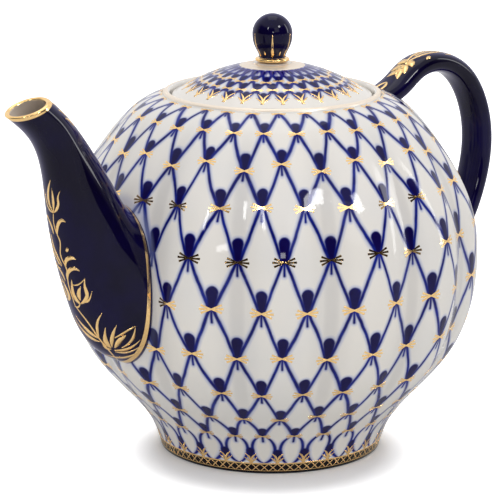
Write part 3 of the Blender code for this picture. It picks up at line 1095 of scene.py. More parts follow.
class TeapotStudio(bpy.types.PropertyGroup):
    floor: colour_setting("Floor", "Tone of the floor", (0.93, 0.93, 0.93, 1.0))
    floor_bounce: colour_setting(
        "Floor bounce", "Tone of the floor as the pot's underside sees it", (0.78, 0.78, 0.76, 1.0)
    )
    camera_distance: length_setting("Camera distance", "From the pot's axis", 1.2232)
    camera_height: length_setting("Camera height", "Above the floor", 0.3945)
    camera_azimuth: bpy.props.FloatProperty(
        name="Camera azimuth",
        description="Round the pot from its side",
        subtype="ANGLE",
        unit="ROTATION",
        default=math.radians(317.75),
    )
    lens: number_setting("Lens", "Focal length in millimetres", 187.12, 20, 400)


# ---------------------------------------------------------------- operators


class TEAPOT_OT_body(bpy.types.Operator):
    """Throw the lobed body, with its foot, seat and strainer, and paint the net on it"""

    bl_idname = "teapot.body"
    bl_label = "Body"

    def execute(self, context):
        outer = smooth_line(BODY_OUTLINE, BODY_RINGS)[::-1]
        outer = [(float(r), float(z)) for r, z in outer if 0.0008 < z < RIM_HEIGHT - 0.0006]
        inside = self.inside_line()
        shelf = SEAT_HEIGHT - WALL
        inner = [(radius, FLOOR_HEIGHT) for radius in (0.0, 0.015, 0.030)]
        inner += [(0.0420, FLOOR_HEIGHT + 0.0003), (0.0480, FLOOR_HEIGHT + 0.0016)] + inside
        inner += [(0.0580, shelf - 0.0012), (0.0500, shelf - 0.0002), (MOUTH_RADIUS + 0.004, shelf)]
        inner += arc((MOUTH_RADIUS + 0.0014, SEAT_HEIGHT - 0.0014), 0.0014, 200, 90, 6)
        seat = [(SEAT_RADIUS - 0.0010, SEAT_HEIGHT)]
        seat += arc((SEAT_RADIUS - 0.0006, SEAT_HEIGHT + 0.0006), 0.0006, -90, 0, 4)
        rim_top = (SEAT_RADIUS + outer[0][0]) / 2
        rim = arc((rim_top, RIM_HEIGHT - 0.0009), outer[0][0] - rim_top, 180, 20, 8)
        foot = [(outer[-1][0] - 0.0002, 0.0003), (outer[-1][0] - 0.0009, 0.0)]
        foot += [(FOOT_INNER_RADIUS + 0.0008, 0.0), (FOOT_INNER_RADIUS, 0.0006)]
        foot += [(FOOT_INNER_RADIUS - 0.0008, FOOT_RECESS - 0.0004)]
        foot += [(FOOT_INNER_RADIUS - 0.0020, FOOT_RECESS), (0.0, FOOT_RECESS)]
        bm = spun(inner + seat + rim + outer + foot, BODY_STEPS)
        self.press_lobes(bm)
        write_net_maps(bm, NET_COLUMNS, NET_START, body_rows, body_pitch)
        for face in bm.faces:
            middle = face.calc_center_median()
            wide = math.hypot(middle.x, middle.y)
            if middle.z > RIM_HEIGHT - 0.0002 and wide > SEAT_RADIUS + 0.0010:
                face.material_index = 2
            elif face.normal.dot((middle.x, middle.y, 0.0)) < 0 or wide < FOOT_INNER_RADIUS + 0.0035:
                face.material_index = 1
            elif wide < SEAT_RADIUS + 0.0006 and middle.z > 0.1:
                face.material_index = 1
        moved_to_axis(bm)
        paint = context.scene.teapot_paint
        painted = net_material(
            "net_painted_glaze",
            net(),
            glaze(),
            ROW_COUNT - 2,
            paint.line_width,
            paint.drop_width,
            DROP_REACH,
            [root_skirt, painted_valley_shade, foot_ground],
        )
        looks = [painted, white_glaze(), pale_gold()]
        piece = finished(
            "porcelain_body", bm, looks, "pot", "teapot_body", recalculate=False
        )
        self.pierce(piece)
        return {"FINISHED"}

    def inside_line(self):
        """The cavity's wall from the floor to the mouth, one wall thickness inside the body's curve."""
        line = []
        around = np.array([-0.001, 0, 0.001])
        for height in np.linspace(0.016, 0.157, 48):
            low, radius, high = np.interp(height + around, BODY_CURVE[:, 1], BODY_CURVE[:, 0])
            slope = (high - low) / 0.002
            lean = math.hypot(1, slope)
            line.append((float(radius - WALL / lean), float(height + slope * WALL / lean)))
        return line

    def press_lobes(self, bm):
        for vertex in bm.verts:
            x, y, z = vertex.co
            outside = math.hypot(x, y) > SEAT_RADIUS + 0.0008
            if outside or FLOOR_HEIGHT < z < SEAT_HEIGHT - WALL:
                factor = float(lobe_factor(math.atan2(y, x), z))
                vertex.co.x = x * factor
                vertex.co.y = y * factor

    def pierce(self, piece):
        """Cuts the strainer's holes through the wall behind the spout."""
        bm = bmesh.new()
        places = [(0.0, 0.0)]
        for reach, shift in ((STRAINER_SPACING, 0.0), (STRAINER_SPACING * math.sqrt(3), 30.0)):
            for i in range(6):
                turn = math.radians(shift + 60 * i)
                places.append((reach * math.sin(turn), reach * math.cos(turn)))
        lay_down = Matrix.Rotation(math.radians(90), 4, "Y")
        for across, up in places:
            spot = Matrix.Translation((AXIS_X - BELLY_RADIUS, across, STRAINER_HEIGHT + up))
            bmesh.ops.create_cone(
                bm,
                cap_ends=True,
                segments=24,
                radius1=STRAINER_HOLE_RADIUS,
                radius2=STRAINER_HOLE_RADIUS,
                depth=0.030,
                matrix=spot @ lay_down,
            )
        bmesh.ops.recalc_face_normals(bm, faces=bm.faces)
        mesh = bpy.data.meshes.new("strainer_pins")
        bm.to_mesh(mesh)
        bm.free()
        pins = bpy.data.objects.new("strainer_pins", mesh)
        bpy.context.scene.collection.objects.link(pins)
        cut = piece.modifiers.new("strainer", "BOOLEAN")
        cut.operation = "DIFFERENCE"
        cut.solver = "EXACT"
        cut.object = pins
        bpy.context.view_layer.update()
        graph = bpy.context.evaluated_depsgraph_get()
        pierced = bpy.data.meshes.new_from_object(piece.evaluated_get(graph), depsgraph=graph)
        piece.modifiers.clear()
        piece.data = pierced
        bpy.data.objects.remove(pins)


class TEAPOT_OT_spout(bpy.types.Operator):
    """Loft the hollow spout from its root on the body to its gilded mouth"""

    bl_idname = "teapot.spout"
    bl_label = "Spout"

    def execute(self, context):
        turns = SPOUT_TURNS[:-1]
        rises = np.concatenate([[1.0, 0.994, 0.986], np.linspace(0.97, 0.03, 60), [0.019, 0.010, 0.0]])
        outer = [spout_wall(turns, rise) for rise in rises]
        inner = [spout_wall(turns, rise, 1.0) for rise in rises]
        edge, across = outer[0], inner[0] - outer[0]
        lip = [edge + across * share + SPOUT_LIP_RISE * lift for share, lift in SPOUT_LIP]
        bm, made = bridged(outer[::-1] + lip + inner)
        bmesh.ops.bridge_loops(bm, edges=made[-1] + made[0])
        bmesh.ops.recalc_face_normals(bm, faces=bm.faces)
        bm.verts.ensure_lookup_table()
        outer_last = len(rises) - 1
        for face in bm.faces:
            rings = [vertex.index // len(turns) for vertex in face.verts]
            low, high = min(rings), max(rings)
            if 1 <= low and high <= 3 or low >= outer_last - 2 and high <= outer_last + 4:
                face.material_index = 2
            elif low >= outer_last + 4:
                face.material_index = 1
        looks = [cobalt_glaze(), spout_shadow_glaze(), gold()]
        finished("cobalt_spout", bm, looks, "pot", "spout", recalculate=False)
        return {"FINISHED"}


class TEAPOT_OT_handle(bpy.types.Operator):
    """Pull the strap handle from the shoulder round to the belly"""

    bl_idname = "teapot.handle"
    bl_label = "Handle"

    def execute(self, context):
        turns = np.linspace(0.0, math.tau, HANDLE_STEPS + 1)[:-1]
        back = np.array([AXIS_X, 0.0, 0.0])
        rises = np.linspace(1.0, 0.0, HANDLE_STATIONS)
        rings = [handle_wall(turns, rise) - back for rise in rises]
        rings, start = self.trimmed(rings)
        rings, end = self.trimmed(rings[::-1])
        rings = rings[::-1]
        bm, made = bridged([ring + back for ring in rings])
        self.close_end(bm, made[0], rings[0], start, back)
        self.close_end(bm, made[-1], rings[-1], end, back)
        finished("cobalt_handle", bm, [cobalt_glaze()], "pot", "handle")
        return {"FINISHED"}

    def clearance(self, ring):
        """How far a ring's nearest point stands out from the body."""
        x, y, z = ring.T
        return np.min(np.hypot(x, y) - body_radius(np.arctan2(y, x), z))

    def trimmed(self, rings):
        """The rings with those inside the body left out, and the first one laid onto the body."""
        kept = list(rings)
        while self.clearance(kept[0]) < HANDLE_CLEARANCE:
            kept = kept[1:]
        direction = kept[0].mean(0) - kept[1].mean(0)
        direction /= np.linalg.norm(direction)
        return [onto_body(kept[0], direction)] + kept, direction

    def close_end(self, bm, edges, ring, direction, back):
        middle = ring.mean(0)
        inner = onto_body((ring + middle) / 2, direction)
        inner_edges = ring_edges(bm, inner + back)
        bmesh.ops.bridge_loops(bm, edges=edges + inner_edges)
        bmesh.ops.contextual_create(bm, geom=inner_edges)


def lid_top(radius):
    """Height of the lid's dome over a radius."""
    return LID_APEX - LID_DROP * (radius / LID_RADIUS) ** 2


LID_LINE = [(float(r), float(lid_top(r))) for r in np.linspace(LID_RADIUS - LID_EDGE_ROUND, 0.0, 120)]
lid_wall = turned_wall(LID_LINE)
LID_REACH = reach_along(np.array(LID_LINE))


def lid_reach(radius):
    return float(np.interp(-radius, -np.array(LID_LINE)[:, 0], LID_REACH))


# The rows of the lid's net, with one more inside the first and one more outside the last.
WIDER_LID_RADII = np.array(
    [LID_NET_RADII[0] * 2 - LID_NET_RADII[1]] + LID_NET_RADII + [LID_NET_RADII[-1] + 0.006]
)


def lid_rows(points):
    radius = np.hypot(points[:, 0], points[:, 1])
    return np.interp(radius, WIDER_LID_RADII, np.arange(-1, len(WIDER_LID_RADII) - 1))


def lid_pitch(points, row):
    radius = np.hypot(points[:, 0], points[:, 1])
    wide = np.maximum(radius, 0.004) * math.tau / LID_COLUMNS * 1000
    middles = np.arange(len(LID_NET_RADII) - 1) + 0.5
    return wide, np.interp(row, middles, np.diff(LID_NET_RADII) * 1000)


class TEAPOT_OT_lid(bpy.types.Operator):
    """Turn the domed lid with its collar, and paint its net"""

    bl_idname = "teapot.lid"
    bl_label = "Lid"

    def execute(self, context):
        edge = LID_RADIUS - LID_EDGE_ROUND
        base = SEAT_HEIGHT + GAP
        dome = [(float(r), float(lid_top(r))) for r in np.linspace(0.0, edge, 64)]
        corner = arc((edge, lid_top(edge) - LID_EDGE_ROUND), LID_EDGE_ROUND, 75, 0, 8)
        flange = [(LID_RADIUS, base + 0.0006), (LID_RADIUS - 0.0002, base + 0.0002)]
        flange += [(LID_RADIUS - 0.0006, base), (COLLAR_RADIUS + 0.0010, base)]
        flange += [(COLLAR_RADIUS + 0.0002, base - 0.0003), (COLLAR_RADIUS, base - 0.0010)]
        foot = base - COLLAR_DEPTH
        inner = COLLAR_RADIUS - COLLAR_WALL
        collar = arc((COLLAR_RADIUS - 0.0012, foot + 0.0012), 0.0012, 0, -90, 5)
        collar += arc((inner + 0.0012, foot + 0.0012), 0.0012, -90, -180, 5) + [(inner, base + 0.0010)]
        under = [(float(r), float(lid_top(r)) - LID_WALL) for r in np.linspace(inner - 0.0040, 0.0, 24)]
        bm = spun(dome + corner + flange + collar + under, LID_STEPS)
        write_net_maps(bm, LID_COLUMNS, LID_START, lid_rows, lid_pitch)
        for face in bm.faces:
            middle = face.calc_center_median()
            if middle.z < lid_top(math.hypot(middle.x, middle.y)) - 0.0007:
                face.material_index = 1
        moved_to_axis(bm)
        painted = net_material(
            "lid_painted_glaze",
            net(),
            glaze(),
            LID_LAST_ROW,
            LID_LINE_WIDTH,
            LID_DROP_WIDTH,
            LID_DROP_REACH,
            [lid_ground],
        )
        looks = [painted, white_glaze()]
        finished("porcelain_lid", bm, looks, "lid", "lid", recalculate=False)
        return {"FINISHED"}


def lid_ground(board, place, colour):
    """Leaves the lid's border white outside the net, and its crown white inside it."""
    paint = bpy.context.scene.teapot_paint
    m = board.math
    x, y, _ = board.parts(place)
    x = m("SUBTRACT", x, AXIS_X)
    radius = m("SQRT", m("ADD", m("MULTIPLY", x, x), m("MULTIPLY", y, y)))
    turn = m("ARCTAN2", y, x)
    rays = m("MULTIPLY", m("ADD", m("SINE", m("MULTIPLY", turn, 2.0 * LID_COLUMNS)), 1.0), 0.5)
    brush = board.noise(place, 210.0, 3.0).outputs["Fac"]
    streak = board.step(m("ADD", m("MULTIPLY", rays, 0.5), m("MULTIPLY", brush, 0.9)), 0.45, 0.85)
    crown = m("MULTIPLY", board.step(radius, *LID_STREAKS), m("MULTIPLY", streak, 0.72))
    colour = board.mix(crown, colour, linear(CROWN_BLUE))
    border = m("MAXIMUM", board.step(radius, *LID_BORDER), board.step(radius, *LID_CROWN))
    return board.mix(border, colour, tuple(paint.porcelain))


# The knob below its widest: (radius, height above its base).
KNOB_WAIST = [
    (KNOB_RADIUS, KNOB_CENTRE),
    (0.00945, 0.0106),
    (0.00864, 0.0075),
    (0.0074, 0.0050),
    (0.0065, 0.0031),
    (0.0063, 0.0018),
]


def knob_profile():
    ball = arc((0.0, KNOB_BASE + KNOB_CENTRE), KNOB_RADIUS, 90, 0, 30)
    ball[0] = (0.0, KNOB_BASE + KNOB_CENTRE + KNOB_RADIUS)
    stem = [(float(r), KNOB_BASE + float(h)) for r, h in smooth_line(KNOB_WAIST, 20)[1:]]
    collar = arc((0.0074, KNOB_BASE + 0.0009), 0.0008, 100, -80, 10)
    return ball + stem + collar + [(0.0070, KNOB_BASE), (0.0, KNOB_BASE)]


class TEAPOT_OT_knob(bpy.types.Operator):
    """Turn the ball knob, and lay the gold on it"""

    bl_idname = "teapot.knob"
    bl_label = "Knob"

    def execute(self, context):
        profile = knob_profile()
        bm = spun(profile, KNOB_STEPS)
        for face in bm.faces:
            if face.calc_center_median().z < KNOB_BASE + 0.0020:
                face.material_index = 1
        moved_to_axis(bm)
        looks = [cobalt_glaze(), gold()]
        finished("cobalt_knob", bm, looks, "lid", "lid_knob", recalculate=False)
        upward = profile[:-1][::-1]
        wall = turned_wall(upward)
        reaches = reach_along(np.array(upward))
        foot = float(np.interp(KNOB_BASE + KNOB_RAY_FOOT, np.array(upward)[:32, 1], reaches[:32]))
        lift = context.scene.teapot_gilding.stroke_height
        gilt = bmesh.new()
        ray = bmesh.new()
        widths = [0.0009, 0.0011, 0.0007, 0.0004, 0.0002]
        add_leaf(ray, [(0.0, 0.0), (0.0, 0.0120)], widths, lift, segments=8)
        dash = bmesh.new()
        add_leaf(dash, [(0.0, 0.0), (0.0, 0.0026)], [0.0003, 0.0007, 0.0003], lift, segments=4)
        ray, dash = drawn(ray), drawn(dash)
        for i in range(KNOB_RAYS):
            stroke, above = (dash, KNOB_DASH_ABOVE) if i % 2 else (ray, 0)
            angle = math.radians(KNOB_RAY_START) + i * math.tau / KNOB_RAYS
            stamped(gilt, stroke, wall, (angle, foot + above))
        finished("knob_gilding", gilt, [gold()], "lid")
        return {"FINISHED"}


class TEAPOT_OT_body_gilding(bpy.types.Operator):
    """Lay the gold bows, the sprigs and the lattice band on the body"""

    bl_idname = "teapot.body_gilding"
    bl_label = "Body gilding"

    def execute(self, context):
        gilding = context.scene.teapot_gilding
        drawing = bow_drawing(gilding)
        gilt = bmesh.new()
        for angle, row in knots(range(ROW_COUNT - 1), NET_COLUMNS, NET_START):
            reach = min(float(reach_of_row(row)), BODY_REACH[-1] - BOW_RIM_GAP)
            height = float(np.interp(reach, BODY_REACH, BODY_CURVE[:, 1]))
            if not hidden_by_fittings(angle, height):
                girth = float(np.interp(height, BODY_CURVE[:, 1], BODY_CURVE[:, 0])) / BELLY_RADIUS
                stamped(gilt, drawing, pot_wall, (angle, reach), size=max(girth, 0.55) ** 0.8)
        finished("bow_gilding", gilt, [gold()], "pot", recalculate=False)
        self.gild_foot(gilding)
        return {"FINISHED"}

    def gild_foot(self, gilding):
        gilt = bmesh.new()
        top = float(reach_at(FOOT_BAND_TOP))
        low = float(reach_at(FOOT_BAND_LOW))
        lift = gilding.stroke_height
        half = math.pi * FOOT_BAND_RADIUS / FOOT_DIAMONDS
        tall = (top - low) / 2
        rising = bar_drawing((-half, -tall), (half, tall), FOOT_STROKE, lift, 4)
        falling = bar_drawing((-half, tall), (half, -tall), FOOT_STROKE, lift, 4)
        for i in range(FOOT_DIAMONDS):
            angle = (i + 0.5) * math.tau / FOOT_DIAMONDS
            stamped(gilt, rising, pot_wall, (angle, (top + low) / 2))
            stamped(gilt, falling, pot_wall, (angle, (top + low) / 2))
        sprig = sprig_drawing(FOOT_SPRIG, lift)
        sprig_reach = float(reach_at(NET_HEIGHTS[-1] - 0.0004))
        for i in range(NET_COLUMNS):
            stamped(gilt, sprig, pot_wall, (math.pi + i * math.tau / NET_COLUMNS, sprig_reach))
        finished("foot_gilding", gilt, [gold()], "pot", recalculate=False)
        for name, reach, width in (("foot_line_top", top, 0.0009), ("foot_line_low", low, 0.0012)):
            finished(name, gold_band(pot_wall, reach, width, lift, 168), [gold()], "pot")


def gold_band(surface, reach, width, lift, steps):
    """A thin raised line all the way round a surface of revolution."""
    turns = np.linspace(0.0, math.tau, steps + 1)[:-1]
    sides = [(-0.5, -SINK), (-0.38, lift), (0.0, lift * 1.3), (0.38, lift), (0.5, -SINK), (0.0, -2 * SINK)]
    rings = []
    for side, rise in sides:
        v = np.full(steps, reach + side * width)
        rings.append(surface(turns, v) + normals_of(surface, turns, v) * rise)
    bm, made = bridged(rings)
    bmesh.ops.bridge_loops(bm, edges=made[-1] + made[0])
    return bm


class TEAPOT_OT_lid_gilding(bpy.types.Operator):
    """Lay the gold ring, bows and sprigs on the lid"""

    bl_idname = "teapot.lid_gilding"
    bl_label = "Lid gilding"

    def execute(self, context):
        gilding = context.scene.teapot_gilding
        drawing = bow_drawing(gilding)
        gilt = bmesh.new()
        row_count = len(LID_NET_RADII)
        for angle, row in knots(range(2, row_count - 1), LID_COLUMNS, LID_START):
            radius = float(np.interp(row, np.arange(row_count), LID_NET_RADII))
            stamped(gilt, drawing, lid_wall, (angle, lid_reach(radius)), size=LID_BOW)
        sprig = sprig_drawing(LID_SPRIG, gilding.stroke_height)
        for i in range(LID_COLUMNS):
            angle = math.pi + (i + LID_START) * math.tau / LID_COLUMNS
            stamped(gilt, sprig, lid_wall, (angle, lid_reach(LID_SPRIG_RADIUS)))
        finished("lid_gilding", gilt, [gold()], "lid", recalculate=False)
        reach = lid_reach(LID_RING_RADIUS)
        band = gold_band(lid_wall, reach, LID_RING_WIDTH, gilding.stroke_height, 96)
        finished("lid_gold_ring", band, [pale_gold()], "lid")
        return {"FINISHED"}


def spout_chart(across, up):
    """The spout unrolled from its under side: metres across, and metres up from its root."""
    rise = np.asarray(up) / SPOUT_CHART_LENGTH
    radius = np.clip(SPOUT_CHART_ROOT_RADIUS - SPOUT_CHART_TAPER * rise, 0.008, 0.03)
    return spout_wall(math.pi + np.asarray(across) / radius, rise)


# The vine on the spout, in millimetres on that chart: a stroke's points, then its widths along them.
VINE_STEM = [
    ([(4, 7), (8, 17), (8, 25), (5.7, 35.4), (0.5, 44)], [0.7, 1.0, 1.0, 0.9, 0.7]),
    (
        [(0.5, 44), (0.6, 50), (1.2, 56), (3.1, 63), (1.0, 69), (3.0, 75.6), (1.7, 79), (0.2, 84), (1.1, 89)],
        [0.7, 0.9, 0.9, 0.8, 0.6],
    ),
    ([(0.2, 43.5), (3, 43.2), (5.6, 45)], [0.6, 0.8, 0.6]),
    ([(1.2, 89), (-2.4, 94), (-1.2, 99), (2.2, 104)], [0.5, 2.4, 2.0, 1.2, 0.2]),
    ([(1.3, 89.5), (1.9, 94), (2.0, 100)], [0.6, 2.0, 1.4, 0.2]),
    ([(1.5, 89), (5.6, 92.5), (5.6, 95), (7.8, 97.5)], [0.5, 1.9, 1.6, 1.0, 0.2]),
    ([(0.8, 89), (-4.8, 92), (-5.6, 95), (-7.4, 98)], [0.5, 1.9, 1.4, 0.8, 0.2]),
    ([(0.2, 64.4), (-2.6, 68), (-4.6, 72), (-4.8, 78)], [0.3, 2.0, 2.0, 1.2, 0.2]),
    ([(-0.2, 63.6), (-5.0, 66.5), (-8.0, 71), (-8.2, 76.5)], [0.3, 2.0, 2.0, 1.2, 0.2]),
    ([(8.2, 25), (4.6, 29), (1.0, 33.5), (-2.9, 38.2)], [0.3, 2.0, 2.4, 1.4, 0.2]),
    ([(7.4, 23.4), (2.8, 26.5), (-1.6, 30.5), (-5.6, 35.5)], [0.3, 2.0, 2.4, 1.4, 0.2]),
]
VINE_SPRAY = [
    ([(1.7, 78.7), (3.2, 83), (6.3, 84.6), (9, 82.6)], [0.6, 2.0, 2.2, 1.4, 0.2]),
    ([(3.1, 63.4), (4.2, 66.2), (7.4, 66.6), (11, 63.9)], [0.6, 2.0, 2.1, 1.4, 0.2]),
    ([(1.2, 56), (3.2, 60.4), (7.4, 61.4), (11.4, 58)], [0.6, 2.0, 2.2, 1.4, 0.2]),
    ([(5.9, 70.7), (7.9, 70.7)], [0.9, 2.1, 0.9]),
    ([(5.4, 44.5), (2.4, 49), (3.2, 53), (4.7, 57)], [0.8, 2.8, 2.6, 1.6, 0.2]),
    ([(6.0, 44.5), (11.6, 46.2), (11.6, 49.8), (13.4, 53.4)], [0.8, 2.6, 2.2, 1.4, 0.2]),
    ([(4.4, 54.2), (8.3, 53.2), (13.0, 53.0)], [0.4, 0.9, 0.7, 0.4]),
    ([(6.2, 46), (6.4, 49), (9.2, 51.6)], [0.8, 2.8, 2.4, 0.5]),
    ([(8.0, 44.6), (12.0, 43.6), (15.0, 45.4)], [0.5, 1.4, 0.9, 0.2]),
    ([(8.3, 25.5), (10, 30), (12.4, 32.6), (16.4, 33.4)], [0.5, 1.9, 1.5, 0.2]),
    ([(10.4, 17), (10.4, 21.5), (11.8, 24), (15.0, 27.4)], [0.8, 3.2, 2.8, 1.4, 0.2]),
    ([(9.8, 16.2), (7.6, 18.6), (8.0, 22.2)], [0.5, 1.6, 1.0, 0.2]),
    ([(11.2, 17), (14.4, 20.2), (17.0, 21.6), (20.6, 22.2)], [0.8, 2.6, 2.0, 0.2]),
    ([(12.0, 15.6), (16.6, 16.0), (21.0, 14.2)], [0.8, 3.2, 2.6, 0.5]),
    ([(16.0, 19.4), (21.8, 15.6), (27.0, 10.6)], [0.5, 1.1, 0.9, 0.3]),
    ([(27.0, 10.4), (22.6, 9.6), (14.5, 12.6)], [0.3, 1.8, 1.3, 0.5]),
    ([(10.6, 14.6), (16.0, 9.2), (23.4, 5.0)], [0.6, 1.7, 1.2, 0.2]),
    ([(10.0, 13.6), (14.0, 8.0), (20.6, 3.6)], [0.5, 1.3, 0.9, 0.2]),
    ([(2.0, 14.0), (7.0, 8.6), (17.7, 2.6)], [0.3, 1.9, 1.7, 0.3]),
]


def drawn_strokes(strokes, lift, mirrored=False):
    """Strokes given in millimetres, as one flat drawing; `mirrored` draws them on the other side too."""
    bm = bmesh.new()
    for side in (1, -1) if mirrored else (1,):
        for path, widths in strokes:
            line = np.array([(side * x, y) for x, y in path]) / 1000
            pieces = max(8, int(reach_along(line)[-1] / 0.0012))
            add_leaf(bm, line, [width / 1000 for width in widths], lift, segments=pieces)
    return drawn(bm)


class TEAPOT_OT_spout_gilding(bpy.types.Operator):
    """Draw the gold vine that climbs the spout, with its flowers, and the leaves behind the mouth"""

    bl_idname = "teapot.spout_gilding"
    bl_label = "Spout gilding"

    def execute(self, context):
        lift = context.scene.teapot_gilding.stroke_height
        gilt = bmesh.new()
        stamped(gilt, drawn_strokes(VINE_STEM, lift), spout_chart, None)
        stamped(gilt, drawn_strokes(VINE_SPRAY, lift, mirrored=True), spout_chart, None)
        leaf = drawn_strokes([([(0, -4), (0.8, 0), (-0.3, 4.0)], [0.3, 1.5, 1.5, 0.2])], lift)
        for side in (-1, 1):
            for turn, rise in ((0.50, 0.938), (0.66, 0.885), (0.74, 0.82)):
                stamped(gilt, leaf, spout_wall, (side * turn, rise), turn=-side * 0.25)
        finished("spout_gilding", gilt, [gold()], "pot", recalculate=False)
        return {"FINISHED"}


class TEAPOT_OT_handle_gilding(bpy.types.Operator):
    """Draw the gold spray along the handle's outer side"""

    bl_idname = "teapot.handle_gilding"
    bl_label = "Handle gilding"

    def execute(self, context):
        lift = context.scene.teapot_gilding.stroke_height
        gilt = bmesh.new()
        stamped(gilt, drawn_strokes(HANDLE_STEM, lift), handle_chart, None)
        stamped(gilt, drawn_strokes(HANDLE_SPRAY, lift, mirrored=True), handle_chart, None)
        finished("handle_gilding", gilt, [gold()], "pot", recalculate=False)
        return {"FINISHED"}


def handle_chart(across, up):
    """The handle unrolled from its outer side: metres across, and metres up from its belly end."""
    return handle_wall(-np.asarray(across) / HANDLE_CHART_RADIUS, np.asarray(up) / HANDLE_CHART_LENGTH)


# The spray on the handle, in millimetres on that chart.
HANDLE_STEM = [
    ([(0, 120), (0.8, 140), (-0.8, 160), (0.8, 180), (0, 196)], [0.3, 0.9, 1.1, 1.0, 0.6]),
    ([(0, 184), (1.9, 192), (1.7, 204), (0.2, 214)], [0.4, 1.5, 1.6, 0.5]),
    ([(0, 184), (-1.9, 192), (-1.7, 204), (-0.2, 214)], [0.4, 1.5, 1.6, 0.5]),
    ([(0, 190), (0, 208)], [0.5, 0.7, 0.5]),
]
HANDLE_SPRAY = [
    ([(0.0, 213), (2.4, 215.0), (4.9, 217.0)], [2.6, 5.0, 4.0, 0.3]),
    ([(0.0, 217), (2.0, 220.5), (4.2, 224.0)], [2.6, 4.4, 3.2, 0.3]),
    ([(0.0, 220), (1.2, 225.5), (2.9, 230.5)], [2.2, 3.6, 2.6, 0.3]),
    ([(5.4, 202.5), (7.0, 206.5)], [0.9, 2.6, 2.2, 0.6]),
    ([(0.0, 236), (1.3, 241), (1.2, 247)], [0.4, 1.3, 1.3, 0.6]),
    ([(0.4, 180), (3.4, 184), (5.4, 190)], [0.5, 1.8, 1.3, 0.2]),
    ([(0.2, 160), (3.2, 163), (5.2, 169)], [0.5, 1.7, 1.2, 0.2]),
    ([(0.2, 140), (2.8, 143), (4.6, 148)], [0.4, 1.5, 1.1, 0.2]),
    ([(0.0, 120), (1.6, 115), (1.2, 109)], [0.3, 1.4, 1.1, 0.2]),
]


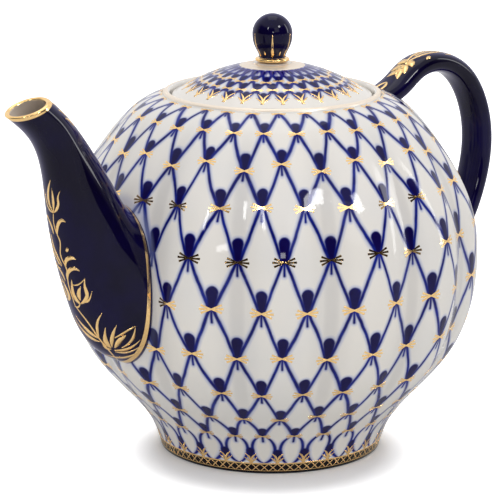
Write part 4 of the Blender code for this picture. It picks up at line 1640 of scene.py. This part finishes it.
class TEAPOT_OT_stage(bpy.types.Operator):
    """Lay the pale floor, hang the lamps and place the camera"""

    bl_idname = "teapot.stage"
    bl_label = "Stage"

    def execute(self, context):
        studio = context.scene.teapot_studio
        bm = bmesh.new()
        bmesh.ops.create_grid(bm, x_segments=1, y_segments=1, size=20.0)
        mesh = bpy.data.meshes.new("floor")
        bm.to_mesh(mesh)
        bm.free()
        floor = bpy.data.objects.new("floor", mesh)
        context.scene.collection.objects.link(floor)
        made, board, shader = new_material("floor_paper")
        grain = board.noise(board.place(), 3.0, 4.0).outputs["Fac"]
        tone = board.step(grain, 0.3, 0.8, 0.0, 0.3)
        tint = board.mix(tone, tuple(studio.floor), FLOOR_PATCHES)
        path = board.add("ShaderNodeLightPath")
        spill = board.mix(path.outputs["Is Diffuse Ray"], tint, tuple(studio.floor_bounce))
        spill = board.mix(path.outputs["Is Glossy Ray"], spill, FLOOR_MIRRORED)
        board.join(spill, shader.inputs["Base Color"])
        # The floor's painted glow, seen by the camera only, grows away from the pot and leaves a painted
        # contact shadow round its foot.
        m = board.math
        x, y, _ = board.parts(board.place())
        aside, ahead = m("SUBTRACT", x, PAINTED_SHADOW_MIDDLE[0]), m("SUBTRACT", y, PAINTED_SHADOW_MIDDLE[1])
        away = m("SQRT", m("ADD", m("POWER", aside, 2.0), m("POWER", ahead, 2.0)))
        pool = m("MULTIPLY", board.step(away, *PAINTED_SHADOW_FADE, 0.06, 0.85), path.outputs["Is Camera Ray"])
        shader.inputs["Emission Color"].default_value = WHITE
        board.join(pool, shader.inputs["Emission Strength"])
        shader.inputs["Roughness"].default_value = 0.6
        shader.inputs["Specular IOR Level"].default_value = 0.1
        mesh.materials.append(made)
        self.light_room(context.scene)
        self.hang_lamps(context.scene)
        self.place_camera(context.scene, studio)
        context.scene.view_settings.view_transform = "Standard"
        return {"FINISHED"}

    def light_room(self, scene):
        world = bpy.data.worlds.new("studio")
        scene.world = world
        world.use_nodes = True
        board = Board(world.node_tree)
        board.tree.nodes.clear()
        out = board.add("ShaderNodeOutputWorld")
        light = board.add("ShaderNodeBackground")
        x, y, z = board.parts(board.add("ShaderNodeTexCoord").outputs["Generated"])
        m = board.math
        front = m("ADD", m("MULTIPLY", x, -0.67), m("MULTIPLY", y, -0.74))
        near = board.step(front, -0.35, 0.15)
        low = board.step(z, 0.72, 0.52)
        mirrored = board.mix(m("MULTIPLY", near, low), ROOM_MIRRORED, ROOM_DARK_SIDE)
        azimuth, elevation = m("ARCTAN2", y, x), m("ARCSINE", z)
        glow = 0.0
        for turn, rise, half_turn, half_rise, strength in WINDOWS:
            pane = strength
            for angle, centre, half in ((azimuth, turn, half_turn), (elevation, rise, half_rise)):
                off = m("ABSOLUTE", m("SUBTRACT", angle, math.radians(centre)))
                inside = board.step(off, math.radians(half * 1.15), math.radians(half * 0.85))
                pane = m("MULTIPLY", inside, pane)
            glow = m("ADD", glow, pane)
        mirrored = board.mix(1.0, mirrored, glow, blend="ADD")
        soft = board.mix(board.step(z, -0.1, 1.0), *ROOM_SOFT)
        side = m("ABSOLUTE", m("ADD", m("MULTIPLY", x, 0.745), m("MULTIPLY", y, -0.667)))
        soft = board.mix(board.step(side, 0.35, 1.0, 0.0, 0.85), soft, ROOM_SIDES)
        path = board.add("ShaderNodeLightPath")
        room = board.mix(path.outputs["Is Glossy Ray"], soft, mirrored)
        room = board.mix(path.outputs["Is Camera Ray"], room, WHITE)
        board.join(room, light.inputs["Color"])
        light.inputs["Strength"].default_value = 1.0
        board.join(light.outputs[0], out.inputs[0])

    def hang_lamps(self, scene):
        for name, size, power, azimuth, elevation, distance in LAMPS:
            lamp = bpy.data.lights.new(name, "AREA")
            lamp.shape = "RECTANGLE"
            lamp.size, lamp.size_y = size
            lamp.energy = power
            a, e = math.radians(azimuth), math.radians(elevation)
            spot = np.array([math.cos(a) * math.cos(e), math.sin(a) * math.cos(e), math.sin(e)]) * distance
            holder = bpy.data.objects.new(name, lamp)
            holder.location = spot + np.array([AXIS_X, 0.0, 0.08])
            holder.rotation_euler = (math.radians(90) - e, 0.0, a + math.radians(90))
            scene.collection.objects.link(holder)

    def place_camera(self, scene, studio):
        data = bpy.data.cameras.new("camera")
        data.lens = studio.lens
        data.sensor_width = 36.0
        data.clip_end = 60.0
        camera = bpy.data.objects.new("camera", data)
        scene.collection.objects.link(camera)
        round_pot = Matrix.Rotation(studio.camera_azimuth, 4, "Z")
        aside = Matrix.Rotation(math.radians(AIM_ASIDE), 4, "Z")
        aim = aside @ Matrix.Rotation(math.radians(90 - AIM_DOWN), 4, "X")
        camera.matrix_world = (
            Matrix.Translation((AXIS_X, 0, 0))
            @ round_pot
            @ Matrix.Translation((0, -studio.camera_distance, studio.camera_height))
            @ aim
            @ Matrix.Rotation(math.radians(AIM_ROLL), 4, "Z")
        )
        scene.camera = camera


class TEAPOT_PT_panel(bpy.types.Panel):
    """The teapot's pieces and settings"""

    bl_idname = "TEAPOT_PT_panel"
    bl_label = "Teapot"
    bl_space_type = "VIEW_3D"
    bl_region_type = "UI"
    bl_category = "Teapot"

    def draw(self, context):
        layout = self.layout
        for operator in PIECES:
            layout.operator(operator.bl_idname)
        scene = context.scene
        for group in (scene.teapot_paint, scene.teapot_gilding, scene.teapot_studio):
            column = layout.column()
            for name in group.bl_rna.properties.keys():
                if name not in ("rna_type", "name"):
                    column.prop(group, name)


PIECES = (
    TEAPOT_OT_body,
    TEAPOT_OT_spout,
    TEAPOT_OT_handle,
    TEAPOT_OT_lid,
    TEAPOT_OT_knob,
    TEAPOT_OT_body_gilding,
    TEAPOT_OT_lid_gilding,
    TEAPOT_OT_spout_gilding,
    TEAPOT_OT_handle_gilding,
    TEAPOT_OT_stage,
)
SETTINGS = (TeapotPaint, TeapotGilding, TeapotStudio)


def register():
    for item in SETTINGS + PIECES + (TEAPOT_PT_panel,):
        bpy.utils.register_class(item)
    bpy.types.Scene.teapot_paint = bpy.props.PointerProperty(type=TeapotPaint)
    bpy.types.Scene.teapot_gilding = bpy.props.PointerProperty(type=TeapotGilding)
    bpy.types.Scene.teapot_studio = bpy.props.PointerProperty(type=TeapotStudio)


def unregister():
    del bpy.types.Scene.teapot_studio
    del bpy.types.Scene.teapot_gilding
    del bpy.types.Scene.teapot_paint
    for item in reversed(SETTINGS + PIECES + (TEAPOT_PT_panel,)):
        bpy.utils.unregister_class(item)


def main():
    register()
    for operator in PIECES:
        family, name = operator.bl_idname.split(".")
        getattr(getattr(bpy.ops, family), name)()


if __name__ == "__main__":
    main()
